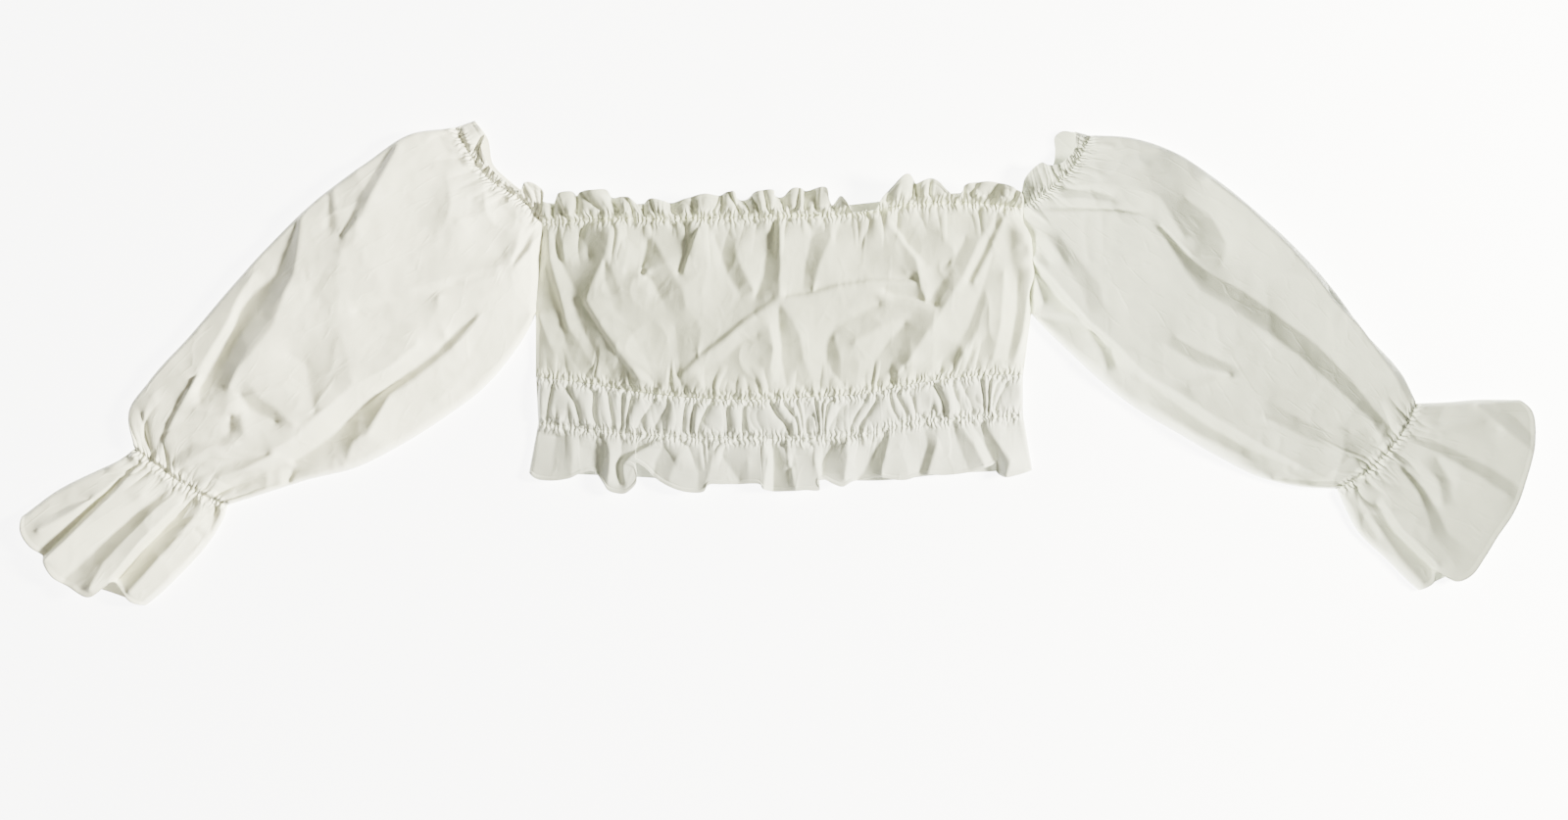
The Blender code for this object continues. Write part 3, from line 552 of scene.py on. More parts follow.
# The weave, on the flat cut in centimetres, with its slubs and nap
THREADS_PER_CM = 22.0
WEAVE_DEPTH = 0.0001
WEAVE_STRENGTH = 0.25
NAP_DEPTH = 0.0003
NAP_STRENGTH = 0.35
SLUBS_PER_CM = 5.0
by_cut = cotton.nodes.new("ShaderNodeUVMap")
by_cut.uv_map = "cloth"
cut_axes = cotton.nodes.new("ShaderNodeSeparateXYZ")
cotton.links.new(by_cut.outputs["UV"], cut_axes.inputs[0])
turn_per_cm = THREADS_PER_CM * math.pi
warp = math_node(cotton, "SINE", math_node(cotton, "MULTIPLY", cut_axes.outputs["X"], turn_per_cm))
weft = math_node(cotton, "SINE", math_node(cotton, "MULTIPLY", cut_axes.outputs["Y"], turn_per_cm))
slubs = noise_node(cotton, by_cut.outputs["UV"], SLUBS_PER_CM, detail=4.0)
threads = bump_node(cotton, math_node(cotton, "MULTIPLY", warp, weft), WEAVE_DEPTH, WEAVE_STRENGTH)
nap = bump_node(cotton, slubs, NAP_DEPTH, NAP_STRENGTH, under=threads)

# Fine straight creases, as poplin keeps after it was crumpled: thin ridges here and there
CREASE_CELLS_PER_CM = 0.2
CREASE_PATCHES_PER_CM = 0.35
CREASE_WIDTH = 0.09
CREASED_ABOVE = (0.45, 0.62)
FINE_CREASE = 0.0002
cells = cotton.nodes.new("ShaderNodeTexVoronoi")
cells.feature = "DISTANCE_TO_EDGE"
cells.inputs["Scale"].default_value = CREASE_CELLS_PER_CM
cotton.links.new(by_cut.outputs["UV"], cells.inputs["Vector"])
thin = map_node(cotton, cells.outputs["Distance"], (0, CREASE_WIDTH), (1, 0), "SMOOTHSTEP")
where = noise_node(cotton, by_cut.outputs["UV"], CREASE_PATCHES_PER_CM)
patches = map_node(cotton, where, CREASED_ABOVE, (0, 1))
creases = bump_node(cotton, math_node(cotton, "MULTIPLY", thin, patches), FINE_CREASE, under=nap)

# The fine tucks between the stitches of an elastic, too small for the mesh. They wander a little, and
# their colour carries painted shade between them, where less light reaches, and a painted highlight on
# their crests.
FINE_TUCK_CM = 0.42
FINE_TUCK_REACH_CM = 1.1
FINE_TUCK_DEPTH = 0.0013
TUCK_WANDER_CM = 1.3
WANDERS_PER_CM = 0.8
TUCK_SHADE = 0.48
TUCK_SHINE = 0.3
TONE_RANGE = (0.96, 1.03)
by_elastic = cotton.nodes.new("ShaderNodeUVMap")
by_elastic.uv_map = "elastic"
elastic_axes = cotton.nodes.new("ShaderNodeSeparateXYZ")
cotton.links.new(by_elastic.outputs["UV"], elastic_axes.inputs[0])
wander = noise_node(cotton, by_elastic.outputs["UV"], WANDERS_PER_CM)
wander = math_node(cotton, "MULTIPLY", wander, TUCK_WANDER_CM)
shifted = math_node(cotton, "ADD", elastic_axes.outputs["X"], wander)
wave = math_node(cotton, "SINE", math_node(cotton, "MULTIPLY", shifted, math.pi / FINE_TUCK_CM))
fine = math_node(cotton, "ABSOLUTE", wave)
near = map_node(cotton, elastic_axes.outputs["Y"], (0, FINE_TUCK_REACH_CM), (1, 0), "SMOOTHSTEP")
pinched = bump_node(cotton, math_node(cotton, "MULTIPLY", fine, near), FINE_TUCK_DEPTH, under=creases)
cotton.links.new(pinched, outputs.inputs["Normal"])

uneven = map_node(cotton, slubs, (0, 1), TONE_RANGE)
# Near an elastic the colour gets painted shade between the fine tucks and a painted highlight on their
# crests, on top of the uneven tone
crests = math_node(cotton, "MULTIPLY", fine, TUCK_SHADE)
painted_tuck_light = math_node(cotton, "SUBTRACT", crests, TUCK_SHADE - TUCK_SHINE)
tone_and_painted_tuck_light = math_node(cotton, "ADD", uneven, math_node(cotton, "MULTIPLY", painted_tuck_light, near))
tone = cotton.nodes.new("ShaderNodeVectorMath")
tone.operation = "SCALE"
cotton.links.new(inputs.outputs["Tint"], tone.inputs[0])
cotton.links.new(tone_and_painted_tuck_light, tone.inputs["Scale"])
cotton.links.new(tone.outputs["Vector"], outputs.inputs["Color"])


def cotton_material(name, tint):
    material = bpy.data.materials.new(name)
    material.use_nodes = True
    tree = material.node_tree
    shader = tree.nodes["Principled BSDF"]
    shader.inputs["Roughness"].default_value = 0.86
    shader.inputs["Specular IOR Level"].default_value = 0.25
    shader.inputs["Sheen Weight"].default_value = 0.12
    shader.inputs["Sheen Roughness"].default_value = 0.6
    group = tree.nodes.new("ShaderNodeGroup")
    group.node_tree = cotton
    group.inputs["Tint"].default_value = (*tint, 1)
    tree.links.new(group.outputs["Color"], shader.inputs["Base Color"])
    tree.links.new(group.outputs["Normal"], shader.inputs["Normal"])
    return material


body_cotton = cotton_material("cotton body", (0.788, 0.802, 0.662))
hem_cotton = cotton_material("cotton hem", (0.802, 0.816, 0.73))

neck = curve_through(NECK_ELASTIC)
upper_waist = curve_through(UPPER_WAIST_ELASTIC)
NECK_LENGTH = 418.0
WAIST_LENGTH = 424.0
NECK_SEED = 11
UPPER_WAIST_SEED = 12
LOWER_WAIST_SEED = 13
left_edge = one_after_other(
    straight(NECK_LEFT, UNDERARM_LEFT), straight(UNDERARM_LEFT, upper_waist(0.0)), LEFT_ARMHOLE_END
)
right_edge = one_after_other(
    straight(NECK_RIGHT, UNDERARM_RIGHT), straight(UNDERARM_RIGHT, upper_waist(1.0)), RIGHT_ARMHOLE_END
)
bodice = patch(neck, upper_waist, left_edge, right_edge)

across, along = np.meshgrid(np.linspace(0, 1, FRONT_COLUMNS + 1), spaced(FRONT_ROWS, 0.3, 0.3))
place = bodice(across, along)
to_neck = distance(place, neck(across))
to_waist = distance(place, upper_waist(across))
from_left = across * BODICE_WIDTH
from_right = (1 - across) * BODICE_WIDTH
sides = np.sqrt(np.minimum(1, 6 * np.minimum(across, 1 - across)))
ends = ramp(to_neck, 0, 15) * ramp(to_waist, 0, 13) * ramp(from_left, 0, 7) * ramp(from_right, 0, 7)
steps = np.linspace(0, 1, 40)
rims = [
    level(neck(steps), ELASTIC_RISE),
    level(upper_waist(steps), ELASTIC_RISE),
    level(left_edge(steps), SIDE_SEAM_HEIGHT),
    level(right_edge(steps), SIDE_SEAM_HEIGHT),
]
height = ELASTIC_RISE + RELIEF * (settled(BODICE_LINES + rims)(place) - ELASTIC_RISE)
neck_run = NECK_LENGTH * across
waist_run = WAIST_LENGTH * across
height += pleats(neck_run, to_neck, seed=21, reach=30, height=4.0, pitch=15) * sides
height += pleats(waist_run, to_waist, seed=22, reach=25, height=3.7, pitch=12) * sides
height += tucks(neck_run, to_neck, NECK_SEED) + tucks(waist_run, to_waist, UPPER_WAIST_SEED)
height += BODICE_CREASES * unevenness(place, seed=31) * ends
# The right edge rolls over the top of the sleeve beside it
beside_sleeve = ramp(along, 0.04, 0.2) * (1 - ramp(along, 0.38, 0.56))
rolled_up = beside_sleeve * np.exp(-(((from_right - 7) / 6) ** 2)) * ramp(from_right, 0, 4)
rolled_out = beside_sleeve * np.exp(-(((from_right - 4) / 5) ** 2)) * ramp(from_right, 0, 3)
height += ROLL_HEIGHT * rolled_up
place[..., 0] += ROLL_REACH * rolled_out
side_seams = np.maximum(
    ramp(along, LEFT_ARMHOLE_END - 0.02, LEFT_ARMHOLE_END + 0.02) * ramp(4 - from_left, 0, 4),
    ramp(along, RIGHT_ARMHOLE_END - 0.02, RIGHT_ARMHOLE_END + 0.02) * ramp(4 - from_right, 0, 4),
)
top = UPPER_Z + at_least_zero(height, 0.4) - side_seams * (UPPER_Z - FOLD_Z - 0.3)
CUT_WIDTH = 760.0
CUT_LENGTH = 185.0
front = add_cloth(
    "front_bodice",
    lifted(place, top)[:, ::-1],
    np.stack([CUT_WIDTH * across, CUT_LENGTH * along], -1)[:, ::-1],
    np.stack([neck_run, np.minimum(to_neck, to_waist)], -1)[:, ::-1],
)

across, along = np.meshgrid(np.linspace(0, 1, BACK_COLUMNS + 1), np.linspace(0, 1, BACK_ROWS))
place = bodice(across, along)
side_seams = ramp(along, 0.56, 0.64) * ramp(np.abs(across - 0.5), 0.485, 0.5)
low = LOWER_Z + 0.9 * side_seams
back = add_cloth(
    "back_bodice",
    lifted(place, low)[:, ::-1],
    np.stack([CUT_WIDTH * across, CUT_LENGTH * along], -1)[:, ::-1],
    np.full((*across.shape, 2), FAR),
)
finish_cloth(front, body_cotton, "front_bodice")
finish_cloth(back, body_cotton, "back_bodice")


# Frill above the neck elastic: the same cloth runs on past it and ends in a narrow rolled hem. The front
# one stands in uneven waves, and the back one lies flat behind it and shows in its notches.
NECK_FRILL_ROWS = 24
BACK_FRILL_ROWS = 12
BACK_FRILL_COLUMNS = 200
NECK_FRILL_LIFT = 2.2
FRILL_CUT_DEPTH = 20
ROLLED_HEM_WIDTH = 3.1
ROLLED_HEM_STEP = 0.5
ROLLED_HEM_STITCH = 0.25
Wave = namedtuple("Wave", "foot x y lift")

# The edge: the place on the elastic that each crest or notch grows from, where it lies and its lift
NECK_FRILL_EDGE = [
    Wave(-203, -202, 139, 1.5),
    Wave(-193, -193, 137, 0.5),
    Wave(-187, -190, 143, 3.0),
    Wave(-181, -187, 146, 6.0),
    Wave(-174, -176, 147, 5.0),
    Wave(-169, -173, 144, 1.0),
    Wave(-163, -169, 147, 4.0),
    Wave(-155, -158, 148, 7.0),
    Wave(-147, -146, 148, 6.0),
    Wave(-142, -143, 143, 1.5),
    Wave(-134, -134, 143, 4.0),
    Wave(-125, -127, 142, 3.0),
    Wave(-119, -121, 137, 0.5),
    Wave(-112, -115, 137, 1.0),
    Wave(-106, -110, 141, 4.0),
    Wave(-98, -101, 140, 2.0),
    Wave(-90, -92, 138, 1.0),
    Wave(-78, -79, 141, 4.0),
    Wave(-64, -62, 145, 5.0),
    Wave(-53, -50, 144, 2.0),
    Wave(-45, -42, 147, 5.0),
    Wave(-37, -36, 146, 4.0),
    Wave(-33, -35, 142, 1.0),
    Wave(-25, -26, 141, 0.5),
    Wave(-19, -20, 146, 4.0),
    Wave(-12, -12, 148, 6.0),
    Wave(-5, -3, 148, 4.0),
    Wave(1, -2, 144, 1.0),
    Wave(8, 5, 143, 1.0),
    Wave(14, 12, 149, 5.0),
    Wave(20, 19, 150, 6.0),
    Wave(26, 25, 148, 3.0),
    Wave(32, 34, 150, 6.0),
    Wave(40, 43, 149, 8.0),
    Wave(46, 45, 140, 4.0),
    Wave(50, 48, 136, 1.0),
    Wave(54, 54, 143, 5.0),
    Wave(59, 59, 139, 5.0),
    Wave(64, 64, 131, 4.0),
    Wave(75, 76, 131, 4.0),
    Wave(86, 86, 133, 4.0),
    Wave(91, 90, 141, 5.0),
    Wave(97, 99, 151, 7.0),
    Wave(103, 107, 159, 10.0),
    Wave(109, 113, 161, 9.0),
    Wave(115, 118, 156, 4.0),
    Wave(121, 120, 154, 3.0),
    Wave(129, 131, 158, 7.0),
    Wave(138, 139, 155, 6.0),
    Wave(147, 146, 148, 4.0),
    Wave(154, 154, 143, 3.0),
    Wave(159, 159, 147, 5.0),
    Wave(165, 161, 152, 8.0),
    Wave(172, 172, 154, 9.0),
    Wave(183, 186, 154, 9.0),
    Wave(195, 198, 151, 8.0),
    Wave(205, 208, 146, 7.0),
    Wave(213, 211, 142, 3.0),
]
BACK_NECK_FRILL_EDGE = [
    Place(-202, 139),
    Place(-150, 136),
    Place(-100, 139),
    Place(-50, 136),
    Place(0, 139),
    Place(60, 137),
    Place(88, 140),
    Place(150, 147),
    Place(211, 147),
]


def waves_through(waves):
    """A frill's edge as x, y and its lift, if it has one: a function of 0 to 1 along its elastic."""
    feet = np.array([wave.foot for wave in waves], float)
    rest = np.array([wave[1:] for wave in waves], float)
    return through((feet - feet[0]) / (feet[-1] - feet[0]), rest)


def hem_step(from_edge):
    """A narrow rolled hem: a thicker band along the edge, with its stitches pulled in beside it."""
    inside = from_edge - ROLLED_HEM_WIDTH
    band = ROLLED_HEM_STEP * (1 - ramp(inside, -0.3, 0.3))
    return band - ROLLED_HEM_STITCH * np.exp(-(((inside - 0.5) / 0.7) ** 2))


rim = waves_through(NECK_FRILL_EDGE)
across, along = np.meshgrid(np.linspace(0, 1, FRONT_COLUMNS + 1), spaced(NECK_FRILL_ROWS, 0.5, 0.6))
crest = rim(across)
foot = neck(across)
place = foot + along[..., None] * (crest[..., :2] - foot)
to_neck = distance(place, foot)
to_rim = distance(crest[..., :2], place)
neck_run = NECK_LENGTH * across
height = NECK_FRILL_LIFT * crest[..., 2] * along**0.8 + tucks(neck_run, to_neck, NECK_SEED)
height += pleats(neck_run, to_neck, seed=41, reach=34, height=7.4, pitch=12)
height += hem_step(to_rim) + 0.25 * noise(place, size=6, seed=42) * ramp(to_neck, 0, 4)
top = UPPER_Z + ELASTIC_RISE + at_least_zero(height, 0.3)
front = add_cloth(
    "front_neck_frill",
    lifted(place, top),
    np.stack([CUT_WIDTH * across, FRILL_CUT_DEPTH * along], -1),
    np.stack([neck_run, to_neck], -1),
)

back_rim = curve_through(BACK_NECK_FRILL_EDGE)
across, along = np.meshgrid(np.linspace(0, 1, BACK_FRILL_COLUMNS), np.linspace(0, 1, BACK_FRILL_ROWS))
foot = neck(across)
place = foot + along[..., None] * (back_rim(across) - foot)
ripple = 0.6 * along * (1 + noise(place, size=9, seed=43))
low = LOWER_Z + ripple + 0.3 * hem_step((1 - along) * FRILL_CUT_DEPTH)
back = add_cloth(
    "back_neck_frill",
    lifted(place, low),
    np.stack([CUT_WIDTH * across, FRILL_CUT_DEPTH * along], -1),
    np.full((*across.shape, 2), FAR),
)
finish_cloth(front, body_cotton, "front_neck_frill")
finish_cloth(back, body_cotton, "back_neck_frill")


# Waistband: the stretch of the same cotton between the two waist elastics, which are sewn to its wrong
# side and gather it into upright ridges all round.
BAND_SWELL = 2.0
BAND_ROWS = 36
FOLD_ROUND = 5.0

LOWER_WAIST_ELASTIC = [
    Place(-207, -52),
    Place(-164, -57),
    Place(-122, -62),
    Place(-28, -65),
    Place(74, -62),
    Place(116, -52),
    Place(176, -47),
    Place(213, -45),
]

lower_waist = curve_through(LOWER_WAIST_ELASTIC)
band = patch(
    upper_waist,
    lower_waist,
    straight(upper_waist(0.0), lower_waist(0.0)),
    straight(upper_waist(1.0), lower_waist(1.0)),
)


def fold_round(across, width):
    """From 0 at a pressed tube's folded edges to 1 a few millimetres in, like a quarter circle."""
    edge = np.minimum(across, 1 - across) * width / FOLD_ROUND
    inside = 1 - np.clip(edge, 0, 1)
    return np.sqrt(np.clip(1 - inside * inside, 0, 1))


def width_of(surface, along):
    ends = surface(np.array([[0.0, 1.0]] * len(along)), np.stack([along, along], 1))
    return distance(ends[:, 1], ends[:, 0])


def pressed_tube(upper_surface, lower_surface, shares, columns, lower_columns, height_of):
    """Points of a tube pressed flat: the upper layer from fold to fold, then the lower one back."""
    across, along = np.meshgrid(columns, shares)
    place = upper_surface(across, along)
    rounded = fold_round(across, width_of(upper_surface, shares)[:, None])
    height, elastic = height_of(across, along, place)
    top = FOLD_Z + (UPPER_Z + below_ceiling(height) - FOLD_Z) * rounded
    upper = lifted(place, top)
    below = np.linspace(1, 0, lower_columns + 1)[1:-1]
    across, along = np.meshgrid(below, shares)
    place = lower_surface(across, along)
    rounded = fold_round(across, width_of(lower_surface, shares)[:, None])
    low = FOLD_Z + (LOWER_Z - FOLD_Z) * rounded
    lower = lifted(place, low)
    return np.concatenate([upper, lower], 1), np.concatenate([elastic, np.full(place.shape, FAR)], 1)


def ring_cut(points, shares, width, length):
    """Each point's place on the flat cut, evenly along the ring."""
    run, rise = np.meshgrid(np.linspace(0, width, points.shape[1]), shares * length)
    return np.stack([run, rise], -1)


def band_height(across, along, place):
    run = WAIST_LENGTH * across
    to_upper = distance(place, upper_waist(across))
    to_lower = distance(place, lower_waist(across))
    between = ramp(to_upper, 0, 6) * ramp(to_lower, 0, 6)
    height = ELASTIC_RISE + BAND_SWELL * np.sin(np.pi * along)
    height = height + tucks(run, to_upper, UPPER_WAIST_SEED) + tucks(run, to_lower, LOWER_WAIST_SEED)
    long_ridges = gathers(run, to_upper, seed=51, pitch=13, height=3.9, reach=200)
    short_ridges = gathers(run, to_lower, seed=52, pitch=9, height=1.3, reach=30)
    height += (long_ridges + short_ridges) * between + 0.4 * noise(place, size=8, seed=53)
    return height, np.stack([run, np.minimum(to_upper, to_lower)], -1)


shares = spaced(BAND_ROWS, 0.3, 0.3)
columns = np.linspace(0, 1, FRONT_COLUMNS + 1)
points, elastic = pressed_tube(band, band, shares, columns, BACK_COLUMNS, band_height)
flat_cut = ring_cut(points, shares, width=1300, length=40)
waistband = add_cloth("waistband", points[:, ::-1], flat_cut, elastic[:, ::-1], closed=True)
finish_cloth(waistband, hem_cotton, "waistband")


# Hem frill: the same cotton below the lower waist elastic. It lies in deep uneven waves, some of them
# folded over, and ends in the same rolled hem.
HEM_ROWS = 60
EdgePlace = namedtuple("EdgePlace", "foot x y")

# The edge: the place on the elastic that each crest or notch grows from, and where it lies
HEM_EDGE = [
    EdgePlace(-207, -215, -95),
    EdgePlace(-200, -209, -100),
    EdgePlace(-190, -196, -102),
    EdgePlace(-178, -180, -100),
    EdgePlace(-166, -168, -95),
    EdgePlace(-156, -157, -95),
    EdgePlace(-150, -150, -104),
    EdgePlace(-145, -146, -110),
    EdgePlace(-139, -137, -113),
    EdgePlace(-131, -128, -111),
    EdgePlace(-125, -121, -102),
    EdgePlace(-120, -124, -90),
    EdgePlace(-116, -132, -87),
    EdgePlace(-112, -125, -85),
    EdgePlace(-106, -115, -90),
    EdgePlace(-98, -106, -99),
    EdgePlace(-88, -93, -107),
    EdgePlace(-76, -76, -112),
    EdgePlace(-66, -63, -111),
    EdgePlace(-60, -60, -106),
    EdgePlace(-48, -47, -105),
    EdgePlace(-34, -34, -105),
    EdgePlace(-20, -15, -105),
    EdgePlace(-12, -12, -109),
    EdgePlace(-5, -5, -111),
    EdgePlace(8, 9, -111),
    EdgePlace(22, 24, -110),
    EdgePlace(32, 37, -109),
    EdgePlace(37, 34, -103),
    EdgePlace(42, 40, -101),
    EdgePlace(50, 49, -105),
    EdgePlace(58, 57, -107),
    EdgePlace(65, 64, -103),
    EdgePlace(74, 74, -101),
    EdgePlace(90, 90, -99),
    EdgePlace(100, 101, -101),
    EdgePlace(112, 112, -101),
    EdgePlace(125, 125, -97),
    EdgePlace(145, 146, -97),
    EdgePlace(165, 168, -94),
    EdgePlace(178, 184, -89),
    EdgePlace(184, 190, -87),
    EdgePlace(188, 189, -93),
    EdgePlace(193, 194, -98),
    EdgePlace(203, 207, -97),
    EdgePlace(213, 221, -93),
]
BACK_HEM_EDGE = [
    Place(-215, -95),
    Place(-140, -98),
    Place(-60, -102),
    Place(30, -101),
    Place(90, -102),
    Place(150, -96),
    Place(221, -93),
]
HEM_LINES = [
    # Left lobe and the deep valley beside it
    [Knot(-191, -61, 1), Knot(-195, -85, 3), Knot(-193, -100, 4)],
    [Knot(-178, -61, 3), Knot(-176, -80, 6), Knot(-178, -96, 6)],
    [Knot(-158, -60, 1), Knot(-156, -79, 2), Knot(-154, -96, 2)],
    [Knot(-149, -62, 4), Knot(-144, -76, 9), Knot(-144, -89, 10), Knot(-146, -103, 9)],
    # The lobe that folds over it
    [Knot(-78, -62, 2), Knot(-94, -65, 6), Knot(-113, -74, 9), Knot(-126, -81, 10), Knot(-133, -88, 10)],
    [Knot(-133, -88, 10), Knot(-132, -98, 9), Knot(-129, -108, 7)],
    [Knot(-88, -60, 2), Knot(-103, -64, 4), Knot(-120, -73, 4), Knot(-135, -82, 4),
     Knot(-138, -91, 4), Knot(-135, -104, 4)],
    [Knot(-99, -74, 5), Knot(-105, -85, 4), Knot(-107, -96, 4)],
    [Knot(-75, -66, 3), Knot(-86, -83, 8), Knot(-93, -101, 8)],
    [Knot(-69, -64, 1), Knot(-68, -85, 5), Knot(-69, -108, 6)],
    [Knot(-44, -64, 3), Knot(-55, -81, 8), Knot(-61, -107, 8)],
    [Knot(-47, -81, 4), Knot(-33, -102, 4)],
    [Knot(-25, -69, 4), Knot(-25, -86, 8), Knot(-23, -103, 7)],
    # The step in the edge and the lobes right of it
    [Knot(-13, -64, 3), Knot(-8, -83, 9), Knot(-12, -109, 9)],
    [Knot(-5, -63, 1), Knot(-3, -85, 1), Knot(-4, -110, 1)],
    [Knot(8, -64, 3), Knot(10, -83, 8), Knot(16, -108, 10)],
    [Knot(20, -64, 1), Knot(13, -85, 6), Knot(8, -105, 6)],
    [Knot(32, -65, 2), Knot(33, -86, 8), Knot(37, -105, 9)],
    [Knot(42, -65, 1), Knot(39, -83, 2), Knot(38, -97, 3)],
    [Knot(60, -64, 4), Knot(61, -81, 9), Knot(58, -100, 9)],
    # The lobe that folds over on the right, and the curl at the end
    [Knot(94, -59, 1), Knot(85, -78, 1), Knot(77, -91, 1), Knot(69, -102, 1)],
    [Knot(99, -61, 4), Knot(94, -78, 9), Knot(90, -96, 9)],
    [Knot(110, -54, 2), Knot(105, -72, 7), Knot(113, -95, 7)],
    [Knot(126, -52, 1), Knot(130, -72, 3), Knot(123, -95, 3)],
    [Knot(139, -51, 3), Knot(138, -72, 8), Knot(130, -97, 8)],
    [Knot(150, -51, 2), Knot(157, -72, 4), Knot(164, -90, 5)],
    [Knot(157, -49, 4), Knot(169, -69, 8), Knot(179, -88, 9)],
    [Knot(164, -46, 1), Knot(178, -68, 2), Knot(190, -88, 2), Knot(192, -99, 2)],
    [Knot(178, -49, 3), Knot(191, -70, 9), Knot(201, -85, 10), Knot(197, -99, 9)],
    [Knot(208, -51, 2), Knot(213, -72, 3), Knot(218, -93, 3)],
]

hem_rim = waves_through(HEM_EDGE)
back_hem = curve_through(BACK_HEM_EDGE)


def hem_upper(across, along):
    foot = lower_waist(across)
    return foot + along[..., None] * (hem_rim(across) - foot)


def hem_lower(across, along):
    foot = lower_waist(across)
    return foot + along[..., None] * (back_hem(across) - foot)


hem_form = settled(HEM_LINES + [level(lower_waist(steps), ELASTIC_RISE)])


def hem_height(across, along, place):
    run = WAIST_LENGTH * across
    to_elastic = distance(place, lower_waist(across))
    to_rim = distance(hem_rim(across), place)
    height = ELASTIC_RISE + RELIEF * (hem_form(place) - ELASTIC_RISE)
    height += tucks(run, to_elastic, LOWER_WAIST_SEED)
    height += pleats(run, to_elastic, seed=61, reach=24, height=2.4, pitch=15)
    height += 0.4 * noise(place, size=12, seed=62) * ramp(to_elastic, 0, 8) + hem_step(to_rim)
    return at_least_zero(height, 0.4), np.stack([run, to_elastic], -1)


shares = spaced(HEM_ROWS, 0.4, 0.5)
points, elastic = pressed_tube(hem_upper, hem_lower, shares, columns, BACK_COLUMNS, hem_height)
flat_cut = ring_cut(points, shares, width=1300, length=50)
hem = add_cloth("hem_frill", points[:, ::-1], flat_cut, elastic[:, ::-1], closed=True)
finish_cloth(hem, hem_cotton, "hem_frill")


# Sleeves: each is one panel of the same cotton with a seam under the arm, gathered at the neckline and the
# wrist. It lies as a pressed tube with long folds that run from the shoulder to the wrist.
SLEEVE_ROWS = 190
SLEEVE_COLUMNS = 168
SLEEVE_LOWER_COLUMNS = 28
HEAD_SHARE = 0.75
HEAD_LENGTH = 130.0
WRIST_LENGTH = 96.0
EDGE_HEIGHT = 6.0
ARMHOLE_HEIGHT = 2
SLEEVE_RELIEF = 1.4
LEFT_SEED = 71
RIGHT_SEED = 171
Section = namedtuple("Section", "outer_x outer_y inner_x inner_y")

# Sections from neckline to wrist: outer edge and underarm edge
LEFT_SLEEVE = [
    Section(-279, 204, -209, 43),
    Section(-318, 198, -216, 28),
    Section(-358, 172, -232, 4),
    Section(-398, 142, -256, -23),
    Section(-440, 102, -288, -47),
    Section(-476, 62, -326, -71),
    Section(-510, 22, -366, -91),
    Section(-544, -16, -406, -101),
    Section(-561, -42, -444, -113),
    Section(-556, -74, -476, -123),
]
RIGHT_SLEEVE = [
    Section(271, 197, 220, 43),
    Section(306, 195, 236, 26),
    Section(343, 183, 256, 7),
    Section(380, 159, 282, -17),
    Section(416, 130, 312, -40),
    Section(450, 98, 346, -60),
    Section(480, 65, 382, -81),
    Section(508, 27, 416, -98),
    Section(541, -11, 452, -107),
    Section(553, -35, 485, -109),
]
LEFT_HEAD_ELASTIC = [
    Place(-279, 204),
    Place(-269, 186),
    Place(-259, 170),
    Place(-246, 156),
    Place(-230, 146),
    Place(-215, 136),
    NECK_LEFT,
]
RIGHT_HEAD_ELASTIC = [
    Place(271, 197),
    Place(264, 181),
    Place(252, 164),
    Place(237, 151),
    Place(224, 141),
    NECK_RIGHT,
]
LEFT_WRIST = [
    Place(-556, -74),
    Place(-538, -87),
    Place(-521, -100),
    Place(-500, -113),
    Place(-476, -123),
]
RIGHT_WRIST = [
    Place(553, -35),
    Place(543, -57),
    Place(529, -76),
    Place(509, -95),
    Place(485, -109),
]
